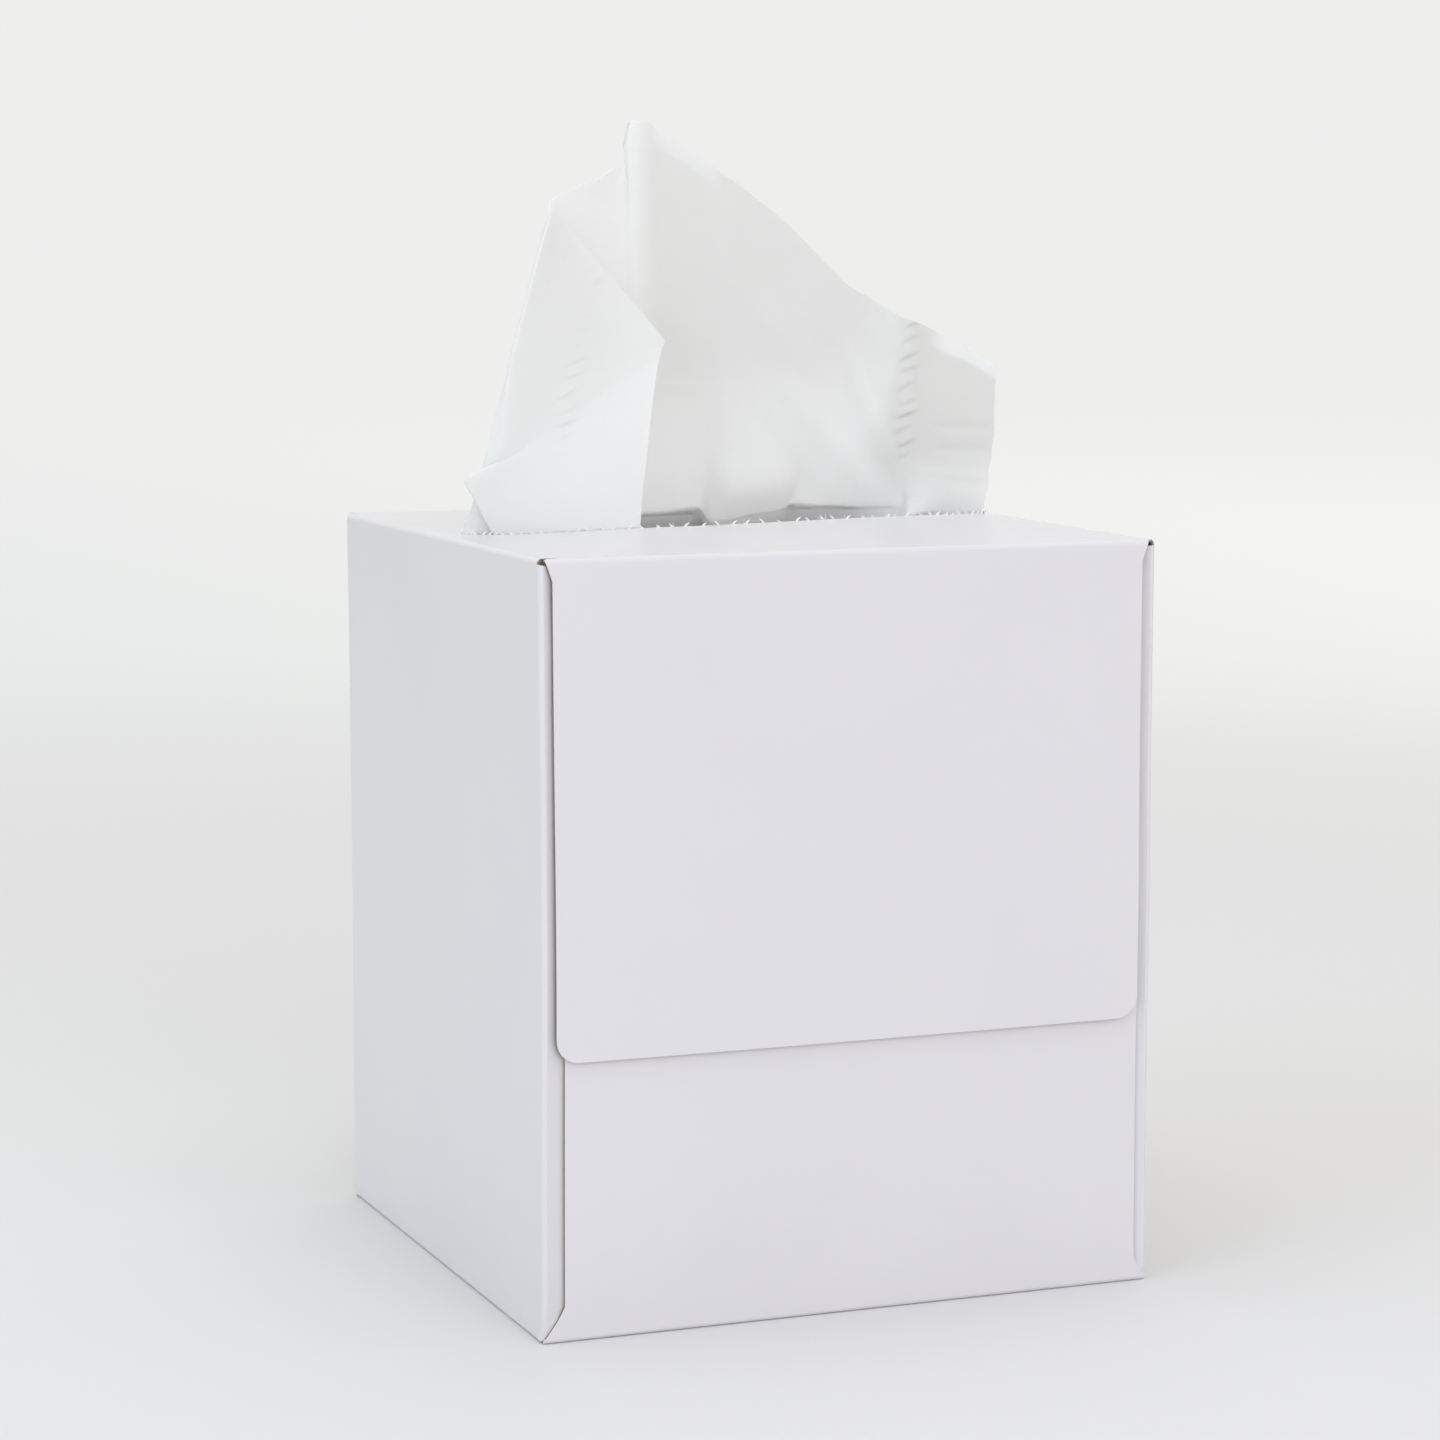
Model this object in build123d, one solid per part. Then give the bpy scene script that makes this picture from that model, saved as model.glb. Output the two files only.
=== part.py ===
from build123d import *

import os
from math import pi

# A cube carton of facial tissues, in millimetres. The origin is the middle of the
# carton's underside, +Z is up, and the end with the overlapping flaps shown to the
# front faces -Y. The carton is one folded blank of board: a tube whose walls are its
# top, left, bottom and right, closed at the front and the back by four flaps each.

# Carton
carton_width = 108.5
carton_depth = 108.5
carton_height = 127.0
board = 0.45
fold_radius = 0.65
flap_gap = 0.25
wall_lap = 4.0

# Flaps that close each end
upper_flap_drop = 80.9
upper_flap_inset = 2.2
upper_flap_corner = 3.8
upper_taper_height = 3.6
lower_flap_rise = 80.0
lower_flap_left_inset = 3.9
lower_flap_right_inset = 1.8
lower_left_chamfer = 6.0
lower_right_chamfer = 4.0
dust_flap_reach = 38.0
dust_flap_taper = 9.0

# Glue tab that joins the blank into a tube
tab_width = 14.0
tab_taper = 7.0
seam_film = 0.12
seam_setback = 0.5
seam_glue_width = 6.0

# Oval opening in the top wall
opening_length = 98.0
opening_width = 29.0

# Hot-melt glue between the flaps
bead_width = 3.0
bead_length = 34.0
bead_spacing = 46.0
speck_width = 3.2
speck_offset = -5.7

# Stack of interfolded tissues, bent over into an upside-down U
stack_thickness = 27.5
stack_clearance = 0.5
stack_rest = 0.3
headroom = 6.2

# The tissue that stands up out of the opening
tissue_thickness = 0.3
tissue_rise = 69.2
tissue_seat = 0.35
mouth_clearance = 0.8

# Each guide line of the raised tissue runs up from the opening to the top edge. Along
# the opening, sizes are shares of its half length. Across it they are shares of its
# half width, and upwards they are shares of the tissue's rise. The columns are: along
# and across where the line leaves the opening, how far it swells along and across on
# its way, along and across at its end, and the height of its end.
tissue_guides = (
    (-0.44, -0.84, 0.0, -0.07, -0.33, -0.66, 0.473),
    (-0.62, -0.72, 0.0, -0.26, -0.49, -0.63, 0.592),
    (-0.81, -0.50, -0.03, -0.22, -0.64, -0.40, 0.730),
    (-0.96, -0.06, 0.01, 0.0, -0.69, -0.04, 0.803),
    (-0.82, 0.44, 0.01, 0.15, -0.57, 0.22, 0.847),
    (-0.58, 0.70, 0.0, 0.15, -0.41, 0.32, 0.893),
    (-0.34, 0.80, 0.01, 0.04, -0.33, 0.15, 1.0),
    (-0.10, 0.72, 0.01, 0.0, -0.15, 0.25, 0.939),
    (0.10, 0.02, 0.0, 0.18, 0.07, 0.34, 0.847),
    (0.30, 0.30, 0.0, 0.11, 0.27, 0.44, 0.757),
    (0.52, 0.62, 0.0, 0.04, 0.50, 0.55, 0.618),
    (0.70, 0.22, -0.01, 0.07, 0.74, 0.51, 0.517),
    (0.76, -0.32, 0.0, 0.11, 0.90, 0.32, 0.458),
    (0.98, 0.04, 0.03, 0.0, 1.06, 0.07, 0.396),
)
fold_guide = 3
section_levels = (0.0, 0.12, 0.26, 0.43, 0.61, 0.80, 1.02)

# Sizes that follow from those above
half_width = carton_width / 2
half_depth = carton_depth / 2
layer_step = board + flap_gap
upper_plane = half_depth - board / 2
lower_plane = upper_plane - layer_step
dust_plane = lower_plane - layer_step
tube_half_length = dust_plane - fold_radius
tab_level = board / 2 + board + seam_film
stack_half_width = half_width - board - stack_clearance
stack_half_length = dust_plane - board / 2 - stack_clearance
stack_floor = board + stack_rest
arch_inner_radius = stack_half_width - stack_thickness
arch_centre = carton_height - board - headroom - stack_half_width
inner_leg = arch_centre - stack_floor
outer_leg = inner_leg - pi * stack_thickness / 2
mouth_half_length = opening_length / 2 - mouth_clearance
mouth_half_width = opening_width / 2 - mouth_clearance
upper_flap_low = carton_height - upper_flap_drop
fold_reach = fold_radius + board / 2


def bent_board(points, width, plane):
    """A strip of board whose middle follows the points, with a rounded fold at each corner."""
    middle = FilletPolyline(*points, radius=fold_radius)
    section = trace(middle, line_width=board)
    return extrude(plane * section, amount=width / 2, both=True)


def tube():
    """The four walls and the glue tab: one strip of board folded round, open at the seam."""
    side = half_width - board / 2
    points = (
        (side - tab_width, tab_level),
        (side, tab_level),
        (side, carton_height - board / 2),
        (-side, carton_height - board / 2),
        (-side, board / 2),
        (half_width - seam_setback, board / 2),
    )
    return bent_board(points, 2 * tube_half_length, Plane.XZ) - tab_end() - mirror(
        tab_end(), about=Plane.XZ
    )


def tab_end():
    """What the slanted front end of the glue tab leaves free."""
    fold = half_width - fold_reach
    outline = Polyline(
        (fold, -tube_half_length),
        (fold - tab_width, -tube_half_length),
        (fold - tab_width, tab_taper - tube_half_length),
        close=True,
    )
    above_wall = Plane.XY.offset(board + seam_film / 2)
    return extrude(above_wall * make_face(outline), amount=2 * board)


def upper_flap():
    """The front flap that folds down from the top wall and lies outermost."""
    level = carton_height - board / 2
    points = (
        (wall_lap - tube_half_length, level),
        (-upper_plane, level),
        (-upper_plane, upper_flap_low),
    )
    strip = bent_board(points, carton_width, Plane.YZ)
    shoulder = half_width - fold_reach
    edge = half_width - upper_flap_inset
    outline = Polyline(
        (-shoulder, carton_height),
        (-edge, carton_height - upper_taper_height),
        (-edge, upper_flap_low),
        (edge, upper_flap_low),
        (edge, carton_height - upper_taper_height),
        (shoulder, carton_height),
        close=True,
    )
    blank = make_face(outline)
    lower_corners = blank.vertices().sort_by(Axis.Y)[:2]
    blank = fillet(lower_corners, upper_flap_corner)
    return strip & extrude(Plane.XZ * blank, amount=carton_depth, both=True)


def lower_flap():
    """The front flap that folds up from the bottom wall and lies under the upper flap."""
    level = board / 2
    points = (
        (wall_lap - tube_half_length, level),
        (-lower_plane, level),
        (-lower_plane, lower_flap_rise),
    )
    strip = bent_board(points, carton_width, Plane.YZ)
    left = half_width - lower_flap_left_inset
    right = half_width - lower_flap_right_inset
    shoulder = half_width - fold_reach
    outline = Polyline(
        (-shoulder, 0),
        (-left, lower_left_chamfer),
        (-left, lower_flap_rise),
        (right, lower_flap_rise),
        (right, lower_right_chamfer),
        (shoulder, 0),
        close=True,
    )
    blank = make_face(outline)
    return strip & extrude(Plane.XZ * blank, amount=carton_depth, both=True)


def dust_flap(low):
    """The left front flap, innermost: as tall as the flat of its side wall, from low up."""
    side = half_width - board / 2
    points = (
        (-side, wall_lap - tube_half_length),
        (-side, -dust_plane),
        (dust_flap_reach - half_width, -dust_plane),
    )
    strip = bent_board(points, carton_height, Plane.XY)
    high = carton_height - fold_reach
    outline = Polyline(
        (-half_width, low),
        (-half_width, high),
        (dust_flap_reach - half_width, high - dust_flap_taper),
        (dust_flap_reach - half_width, low + dust_flap_taper),
        close=True,
    )
    blank = make_face(outline)
    placed = Pos(0, 0, carton_height / 2) * strip
    return placed & extrude(Plane.XZ * blank, amount=carton_depth, both=True)


def carton():
    """The whole folded blank with its oval opening."""
    left_dust = dust_flap(fold_reach)
    right_dust = mirror(dust_flap(tab_level + fold_radius), about=Plane.YZ)
    front = upper_flap() + lower_flap() + left_dust + right_dust
    shell = tube() + front + mirror(front, about=Plane.XZ)
    oval = Ellipse(opening_length / 2, opening_width / 2)
    cutter = extrude(Pos(0, 0, carton_height) * oval, amount=fold_radius, both=True)
    return shell - cutter


def flap_glue():
    """Beads of glue between the front flaps, with the speck squeezed out at the edge."""
    outer_film = -half_depth + board + flap_gap / 2
    inner_film = outer_film + layer_step
    overlap_middle = (upper_flap_low + lower_flap_rise) / 2
    level_bead = Box(bead_length, flap_gap, bead_width)
    upright_bead = Box(bead_width, flap_gap, bead_length)
    speck = Cylinder(speck_width / 2, flap_gap, rotation=(90, 0, 0))
    beads = [Pos(speck_offset, outer_film, upper_flap_low) * speck]
    for side in (-1, 1):
        beads.append(Pos(side * bead_spacing / 2, outer_film, overlap_middle) * level_bead)
        dust_middle = side * (half_width - dust_flap_reach / 2)
        beads.append(Pos(dust_middle, inner_film, lower_flap_rise / 2) * upright_bead)
    return Compound(children=beads)


def seam_glue():
    """The line of glue between the tab and the bottom wall."""
    place = half_width - board - tab_width / 2
    line = Box(seam_glue_width, 2 * tube_half_length - seam_glue_width, seam_film)
    return Pos(place, 0, board + seam_film / 2) * line


def tissue_stack():
    """The bent stack. Its sheets are equally long, so its ends slope to the inside."""
    outer = stack_half_width
    inner = arch_inner_radius
    outer_end = arch_centre - outer_leg
    arch_top = ThreePointArc(
        (-outer, arch_centre), (0, arch_centre + outer), (outer, arch_centre)
    )
    arch_under = ThreePointArc(
        (inner, arch_centre), (0, arch_centre + inner), (-inner, arch_centre)
    )
    right_leg = Polyline(
        (outer, arch_centre), (outer, outer_end), (inner, stack_floor), (inner, arch_centre)
    )
    left_leg = Polyline(
        (-inner, arch_centre), (-inner, stack_floor), (-outer, outer_end), (-outer, arch_centre)
    )
    section = make_face(Curve() + [arch_top, right_leg, arch_under, left_leg])
    return extrude(Plane.XZ * section, amount=stack_half_length, both=True)


def guide_place(guide, level):
    """Where a guide line of the raised tissue passes, at a share of the tissue's rise."""
    along, across, swell_along, swell_across, end_along, end_across, end_level = guide
    way = level / end_level
    bulge = 4 * way * max(1 - way, 0)
    return Vector(
        mouth_half_length * (along + (end_along - along) * way + swell_along * bulge),
        mouth_half_width * (across + (end_across - across) * way + swell_across * bulge),
    )


def sheet_section(level):
    """The raised tissue cut through at a share of its rise: one thin curved strip."""
    middle = [guide_place(guide, level) for guide in tissue_guides]
    ahead = middle[1:] + middle[-1:]
    behind = middle[:1] + middle[:-1]
    half = tissue_thickness / 2
    steps = [(b - a).normalized().rotate(Axis.Z, 90) * half for a, b in zip(behind, ahead)]
    rear = Spline(*[place + step for place, step in zip(middle, steps)])
    front = Spline(*[place - step for place, step in zip(middle, steps)])
    right_end = Line(rear @ 1, front @ 1)
    left_end = Line(front @ 0, rear @ 0)
    strip = make_face(Curve() + [rear, right_end, front, left_end])
    return Pos(0, 0, carton_height + level * tissue_rise) * strip


def above_edge(guides, front, rear):
    """What lies above the top edge of some guide lines, between a front and a rear plane."""
    edge = sorted(
        (mouth_half_length * guide[4], carton_height + tissue_rise * guide[6])
        for guide in guides
    )
    sky = 2 * carton_height
    outline = Polyline(
        (-carton_width, sky),
        (-carton_width, edge[0][1]),
        *edge,
        (carton_width, edge[-1][1]),
        (carton_width, sky),
        close=True,
    )
    return extrude(Plane.XZ.offset(-rear) * make_face(outline), amount=rear - front)


def raised_tissue():
    """One thin sheet that comes up through the opening, folded round at its left."""
    sections = [sheet_section(level) for level in section_levels]
    drop = carton_height - arch_centre
    sheet = loft(sections, ruled=True) + extrude(sections[0], amount=-drop)
    seat = Cylinder(stack_half_width + tissue_seat, carton_depth, rotation=(90, 0, 0))
    fold_line = mouth_half_width * tissue_guides[fold_guide][5]
    front_edge = above_edge(tissue_guides[: fold_guide + 1], -half_depth, fold_line)
    rear_edge = above_edge(tissue_guides[fold_guide:], -half_depth, half_depth)
    return sheet - Pos(0, 0, arch_centre) * seat - front_edge - rear_edge


os.makedirs("parts", exist_ok=True)
front_glue = flap_glue()
export_step(carton(), "parts/carton.step")
export_step(tissue_stack(), "parts/tissue_stack.step")
export_step(raised_tissue(), "parts/raised_tissue.step")
export_step(front_glue, "parts/front_flap_glue.step")
export_step(mirror(front_glue, about=Plane.XZ), "parts/back_flap_glue.step")
export_step(seam_glue(), "parts/seam_glue.step")
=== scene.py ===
"""Looks of a box of facial tissues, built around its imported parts.

Lengths are in millimetres while a piece is shaped, and in metres once it is placed. The
origin is the middle of the carton's underside, +Z is up and the front flaps face -Y.
"""

import logging
import math
import random
from dataclasses import dataclass
from enum import Enum

import bmesh
import bpy
from mathutils import Euler, Matrix, Vector, noise
from mathutils.bvhtree import BVHTree

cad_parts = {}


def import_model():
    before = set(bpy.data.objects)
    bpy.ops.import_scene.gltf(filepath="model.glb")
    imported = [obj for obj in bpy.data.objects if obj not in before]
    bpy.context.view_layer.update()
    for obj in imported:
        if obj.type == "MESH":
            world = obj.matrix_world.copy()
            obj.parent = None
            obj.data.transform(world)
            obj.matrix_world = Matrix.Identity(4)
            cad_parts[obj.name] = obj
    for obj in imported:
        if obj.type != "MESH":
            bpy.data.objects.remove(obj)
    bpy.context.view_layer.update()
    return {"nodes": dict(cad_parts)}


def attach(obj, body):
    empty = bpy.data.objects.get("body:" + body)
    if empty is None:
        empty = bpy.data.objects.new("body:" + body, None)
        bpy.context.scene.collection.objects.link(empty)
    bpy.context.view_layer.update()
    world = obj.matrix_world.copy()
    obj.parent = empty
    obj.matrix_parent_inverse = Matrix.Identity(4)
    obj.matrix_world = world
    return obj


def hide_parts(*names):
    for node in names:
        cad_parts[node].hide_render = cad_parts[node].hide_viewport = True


log = logging.getLogger("tissue_box")

MM = 0.001
BODY = "root"


class Board(Enum):
    """The three surfaces of a piece of carton board, in the order of its material slots."""

    COATED = 0
    GREY_BACK = 1
    CUT_EDGE = 2


def smooth_step(low: float, high: float, value: float) -> float:
    """A soft change from 0 to 1.

    Args:
        low: The value that gives 0.
        high: The value that gives 1.
        value: The value to judge.

    Returns:
        A share from 0 to 1.
    """
    share = min(max((value - low) / (high - low), 0.0), 1.0)
    return share * share * (3 - 2 * share)


def hump(value: float, half_width: float) -> float:
    """A bell shape: 1 at 0, and nearly nothing past twice the half width."""
    return math.exp(-((value / half_width) ** 2))


def read_curve(
    knots: list[float], values: list[float] | list[Vector], place: float
) -> float | Vector:
    """Reads a smooth curve through some values.

    Args:
        knots: Rising places of the values.
        values: Numbers or vectors, one for each knot.
        place: Where the curve is read, held inside the knots.

    Returns:
        The number or vector there.
    """
    place = min(max(place, knots[0]), knots[-1])
    last = len(knots) - 2
    i = 0
    while i < last and place > knots[i + 1]:
        i += 1
    span = knots[i + 1] - knots[i]
    t = (place - knots[i]) / span
    slope = (values[i + 1] - values[i]) / span
    before = slope
    after = slope
    if i > 0:
        before = (slope + (values[i] - values[i - 1]) / (knots[i] - knots[i - 1])) * 0.5
    if i < last:
        after = (slope + (values[i + 2] - values[i + 1]) / (knots[i + 2] - knots[i + 1])) * 0.5
    start = values[i] * (2 * t**3 - 3 * t**2 + 1) + before * (span * (t**3 - 2 * t**2 + t))
    end = values[i + 1] * (3 * t**2 - 2 * t**3) + after * (span * (t**3 - t**2))
    return start + end


def finish_piece(
    form: bmesh.types.BMesh, name: str, materials: list[bpy.types.Material]
) -> bpy.types.Object:
    """Turns a form in millimetres into a piece in metres that rides on the carton's body.

    Args:
        form: The shaped mesh, which is used up.
        name: The piece's name.
        materials: Its materials, in the order of its faces' material numbers.

    Returns:
        The new object, at the origin.
    """
    bmesh.ops.scale(form, vec=(MM, MM, MM), verts=form.verts)
    mesh = bpy.data.meshes.new(name)
    form.to_mesh(mesh)
    form.free()
    for material in materials:
        mesh.materials.append(material)
    piece = bpy.data.objects.new(name, mesh)
    bpy.context.scene.collection.objects.link(piece)
    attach(piece, BODY)
    log.info("%s: %d faces", name, len(mesh.polygons))
    return piece


def soften(form: bmesh.types.BMesh, sharpest: float) -> None:
    """Shades all faces smoothly, apart from the sharper edges.

    Args:
        form: The mesh under way.
        sharpest: The angle in degrees from which an edge stays sharp.
    """
    limit = math.radians(sharpest)
    for face in form.faces:
        face.smooth = True
    for edge in form.edges:
        edge.smooth = edge.is_manifold and edge.calc_face_angle(0.0) < limit


@dataclass(frozen=True)
class EffectGroups:
    """Shader effects that several finishes share, each a node group built once."""

    mottle_scale: float = 160.0

    def sockets(
        self, name: str, inputs: dict[str, float], outputs: list[str]
    ) -> tuple[bpy.types.NodeTree, bpy.types.Node, bpy.types.Node]:
        """Starts a node group.

        Args:
            name: The group's name.
            inputs: Name and default of each number that goes in.
            outputs: Name of each number that comes out.

        Returns:
            The group, its input node and its output node.
        """
        group = bpy.data.node_groups.new(name, "ShaderNodeTree")
        group.interface.new_socket("Place", in_out="INPUT", socket_type="NodeSocketVector")
        for label, default in inputs.items():
            socket = group.interface.new_socket(
                label, in_out="INPUT", socket_type="NodeSocketFloat"
            )
            socket.default_value = default
        for label in outputs:
            group.interface.new_socket(label, in_out="OUTPUT", socket_type="NodeSocketFloat")
        start = group.nodes.new("NodeGroupInput")
        end = group.nodes.new("NodeGroupOutput")
        return group, start, end

    def fibres(self) -> bpy.types.NodeTree:
        """Soft clouds and short fibres, as paper and board show when light rakes over them.

        Returns:
            A group with Place, Scale and Stretch in, and Cloud and Fibre out.
        """
        found = bpy.data.node_groups.get("paper_fibres")
        if found:
            return found
        group, start, end = self.sockets(
            "paper_fibres", {"Scale": self.mottle_scale, "Stretch": 0.25}, ["Cloud", "Fibre"]
        )
        nodes = group.nodes
        links = group.links
        cloud = nodes.new("ShaderNodeTexNoise")
        cloud.inputs["Detail"].default_value = 4.0
        links.new(start.outputs["Place"], cloud.inputs["Vector"])
        links.new(start.outputs["Scale"], cloud.inputs["Scale"])
        links.new(cloud.outputs["Fac"], end.inputs["Cloud"])
        squeeze = nodes.new("ShaderNodeCombineXYZ")
        squeeze.inputs["Y"].default_value = 1.0
        squeeze.inputs["Z"].default_value = 1.0
        links.new(start.outputs["Stretch"], squeeze.inputs["X"])
        stretch = nodes.new("ShaderNodeVectorMath")
        stretch.operation = "MULTIPLY"
        links.new(start.outputs["Place"], stretch.inputs[0])
        links.new(squeeze.outputs["Vector"], stretch.inputs[1])
        finer = nodes.new("ShaderNodeMath")
        finer.operation = "MULTIPLY"
        finer.inputs[1].default_value = 9.0
        links.new(start.outputs["Scale"], finer.inputs[0])
        fibre = nodes.new("ShaderNodeTexNoise")
        fibre.inputs["Detail"].default_value = 3.0
        fibre.inputs["Roughness"].default_value = 0.65
        links.new(stretch.outputs["Vector"], fibre.inputs["Vector"])
        links.new(finer.outputs[0], fibre.inputs["Scale"])
        links.new(fibre.outputs["Fac"], end.inputs["Fibre"])
        return group


class Finish:
    """A material under way: its nodes, its main shader and the links between them."""

    def __init__(self, name: str) -> None:
        """Starts an empty material with a main shader and an output.

        Args:
            name: The material's name.
        """
        self.material = bpy.data.materials.new(name)
        self.material.use_nodes = True
        self.nodes = self.material.node_tree.nodes
        self.links = self.material.node_tree.links
        self.shader = self.nodes["Principled BSDF"]
        self.output = self.nodes["Material Output"]

    def node(self, kind: str, **values) -> bpy.types.Node:
        """Adds a node and sets its plain properties.

        Args:
            kind: The node's type.
            values: Its properties by name.

        Returns:
            The new node.
        """
        new = self.nodes.new(kind)
        for key, value in values.items():
            setattr(new, key, value)
        return new

    def set(self, **values) -> None:
        """Sets the main shader's own sockets, with spaces for underlines in their names."""
        for key, value in values.items():
            self.shader.inputs[key.replace("_", " ")].default_value = value

    def place(self, kind: str = "Object") -> bpy.types.NodeSocket:
        """Where a point lies on the piece: Object coordinates, or its own UV map."""
        return self.node("ShaderNodeTexCoord").outputs[kind]

    def fibres(
        self, place: bpy.types.NodeSocket, scale: float, stretch: float
    ) -> bpy.types.Node:
        """Places the shared fibre effect.

        Args:
            place: The socket that tells where a point lies.
            scale: How fine the effect is.
            stretch: How far it is drawn out, below 1 for long fibres.

        Returns:
            The effect's node.
        """
        effect = self.node("ShaderNodeGroup")
        effect.node_tree = EffectGroups().fibres()
        effect.inputs["Scale"].default_value = scale
        effect.inputs["Stretch"].default_value = stretch
        self.links.new(place, effect.inputs["Place"])
        return effect

    def ramp(
        self,
        source: bpy.types.NodeSocket,
        low: tuple,
        high: tuple,
        start: float = 0.3,
        end: float = 0.7,
    ) -> bpy.types.NodeSocket:
        """Turns a number into a colour between two.

        Args:
            source: The socket that gives the number.
            low: Colour at the start.
            high: Colour at the end.
            start: The number that gives the first colour.
            end: The number that gives the second colour.

        Returns:
            The colour's socket.
        """
        blend = self.node("ShaderNodeValToRGB")
        blend.color_ramp.elements[0].position = start
        blend.color_ramp.elements[0].color = (*low, 1.0)
        blend.color_ramp.elements[1].position = end
        blend.color_ramp.elements[1].color = (*high, 1.0)
        self.links.new(source, blend.inputs["Fac"])
        return blend.outputs["Color"]

    def span(
        self, source: bpy.types.NodeSocket, low: float, high: float
    ) -> bpy.types.NodeSocket:
        """Spreads a number from 0 to 1 over a range of values.

        Args:
            source: The socket that gives the number.
            low: The value at 0.
            high: The value at 1.

        Returns:
            The value's socket.
        """
        spread = self.node("ShaderNodeMapRange")
        spread.inputs["To Min"].default_value = low
        spread.inputs["To Max"].default_value = high
        self.links.new(source, spread.inputs["Value"])
        return spread.outputs["Result"]

    def mix(
        self,
        share: bpy.types.NodeSocket | float,
        first: bpy.types.NodeSocket | tuple,
        second: bpy.types.NodeSocket | tuple,
    ) -> bpy.types.NodeSocket:
        """A colour between two others.

        Args:
            share: How much of the second colour there is.
            first: The first colour, or its socket.
            second: The second colour, or its socket.

        Returns:
            The colour's socket.
        """
        blend = self.node("ShaderNodeMix", data_type="RGBA")
        for socket, value in ((0, share), (6, first), (7, second)):
            if isinstance(value, bpy.types.NodeSocket):
                self.links.new(value, blend.inputs[socket])
            elif isinstance(value, tuple):
                blend.inputs[socket].default_value = (*value, 1.0)
            else:
                blend.inputs[socket].default_value = value
        return blend.outputs[2]

    def bump(
        self,
        height: bpy.types.NodeSocket,
        strength: float,
        distance: float,
        under: bpy.types.NodeSocket | None = None,
    ) -> bpy.types.NodeSocket:
        """Raises the surface by a height.

        Args:
            height: The socket that gives the height.
            strength: How much of it shows.
            distance: What a height of 1 stands for, in metres.
            under: The normal of a coarser bump below it.

        Returns:
            The normal's socket.
        """
        relief = self.node("ShaderNodeBump")
        relief.inputs["Strength"].default_value = strength
        relief.inputs["Distance"].default_value = distance
        self.links.new(height, relief.inputs["Height"])
        if under is not None:
            self.links.new(under, relief.inputs["Normal"])
        return relief.outputs["Normal"]


@dataclass(frozen=True)
class CoatedBoard:
    """The carton's outside: white clay coating under a satin varnish."""

    white: tuple = (0.722, 0.714, 0.724)
    shade: tuple = (0.706, 0.698, 0.710)
    worn: tuple = (0.725, 0.720, 0.720)
    roughness: float = 0.21

    def make(self) -> bpy.types.Material:
        """Builds the material.

        Returns:
            The finished material.
        """
        board = Finish("coated_board")
        place = board.place()
        board.set(Specular_IOR_Level=0.5, Coat_Roughness=0.12)
        clouds = board.fibres(place, 30.0, 1.0)
        grain = board.fibres(place, 900.0, 0.5)
        tone = board.ramp(clouds.outputs["Cloud"], self.shade, self.white)
        wear = board.node("ShaderNodeAttribute", attribute_name="fold_wear")
        worn = board.mix(wear.outputs["Fac"], tone, self.worn)
        board.links.new(worn, board.shader.inputs["Base Color"])
        satin = board.span(clouds.outputs["Cloud"], self.roughness - 0.02, self.roughness + 0.03)
        board.links.new(satin, board.shader.inputs["Roughness"])
        broad = board.bump(clouds.outputs["Cloud"], 0.05, 0.0002)
        fine = board.bump(grain.outputs["Cloud"], 0.02, 0.00002, broad)
        board.links.new(fine, board.shader.inputs["Normal"])
        return board.material


@dataclass(frozen=True)
class GreyBack:
    """The carton's inside: uncoated recycled board, flecked with darker and paler fibres."""

    dark: tuple = (0.33, 0.285, 0.235)
    pale: tuple = (0.50, 0.455, 0.395)

    def make(self) -> bpy.types.Material:
        """Builds the material.

        Returns:
            The finished material.
        """
        board = Finish("grey_back")
        place = board.place()
        board.set(Roughness=0.92, Specular_IOR_Level=0.25)
        flecks = board.fibres(place, 260.0, 0.35)
        tone = board.ramp(flecks.outputs["Fibre"], self.dark, self.pale, 0.35, 0.62)
        board.links.new(tone, board.shader.inputs["Base Color"])
        relief = board.bump(flecks.outputs["Fibre"], 0.5, 0.0001)
        board.links.new(relief, board.shader.inputs["Normal"])
        return board.material


@dataclass(frozen=True)
class CutEdge:
    """The board's cut edge: grey-brown fibres between the coating and the back."""

    dark: tuple = (0.20, 0.150, 0.115)
    pale: tuple = (0.42, 0.345, 0.285)

    def make(self) -> bpy.types.Material:
        """Builds the material.

        Returns:
            The finished material.
        """
        edge = Finish("cut_edge")
        place = edge.place()
        edge.set(Roughness=0.95, Specular_IOR_Level=0.2)
        layers = edge.fibres(place, 700.0, 0.2)
        tone = edge.ramp(layers.outputs["Fibre"], self.dark, self.pale, 0.3, 0.7)
        edge.links.new(tone, edge.shader.inputs["Base Color"])
        relief = edge.bump(layers.outputs["Fibre"], 0.6, 0.00008)
        edge.links.new(relief, edge.shader.inputs["Normal"])
        return edge.material


@dataclass(frozen=True)
class TornFibres:
    """The pale fuzz where the perforation was torn."""

    pale: tuple = (0.95, 0.94, 0.93)
    dark: tuple = (0.86, 0.84, 0.81)

    def make(self) -> bpy.types.Material:
        """Builds the material.

        Returns:
            The finished material.
        """
        fuzz = Finish("torn_fibres")
        fuzz.set(Roughness=1.0, Specular_IOR_Level=0.1)
        tufts = fuzz.fibres(fuzz.place(), 1500.0, 0.5)
        tone = fuzz.ramp(tufts.outputs["Cloud"], self.dark, self.pale, 0.35, 0.55)
        fuzz.links.new(tone, fuzz.shader.inputs["Base Color"])
        relief = fuzz.bump(tufts.outputs["Fibre"], 0.5, 0.00005)
        fuzz.links.new(relief, fuzz.shader.inputs["Normal"])
        return fuzz.material


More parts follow.
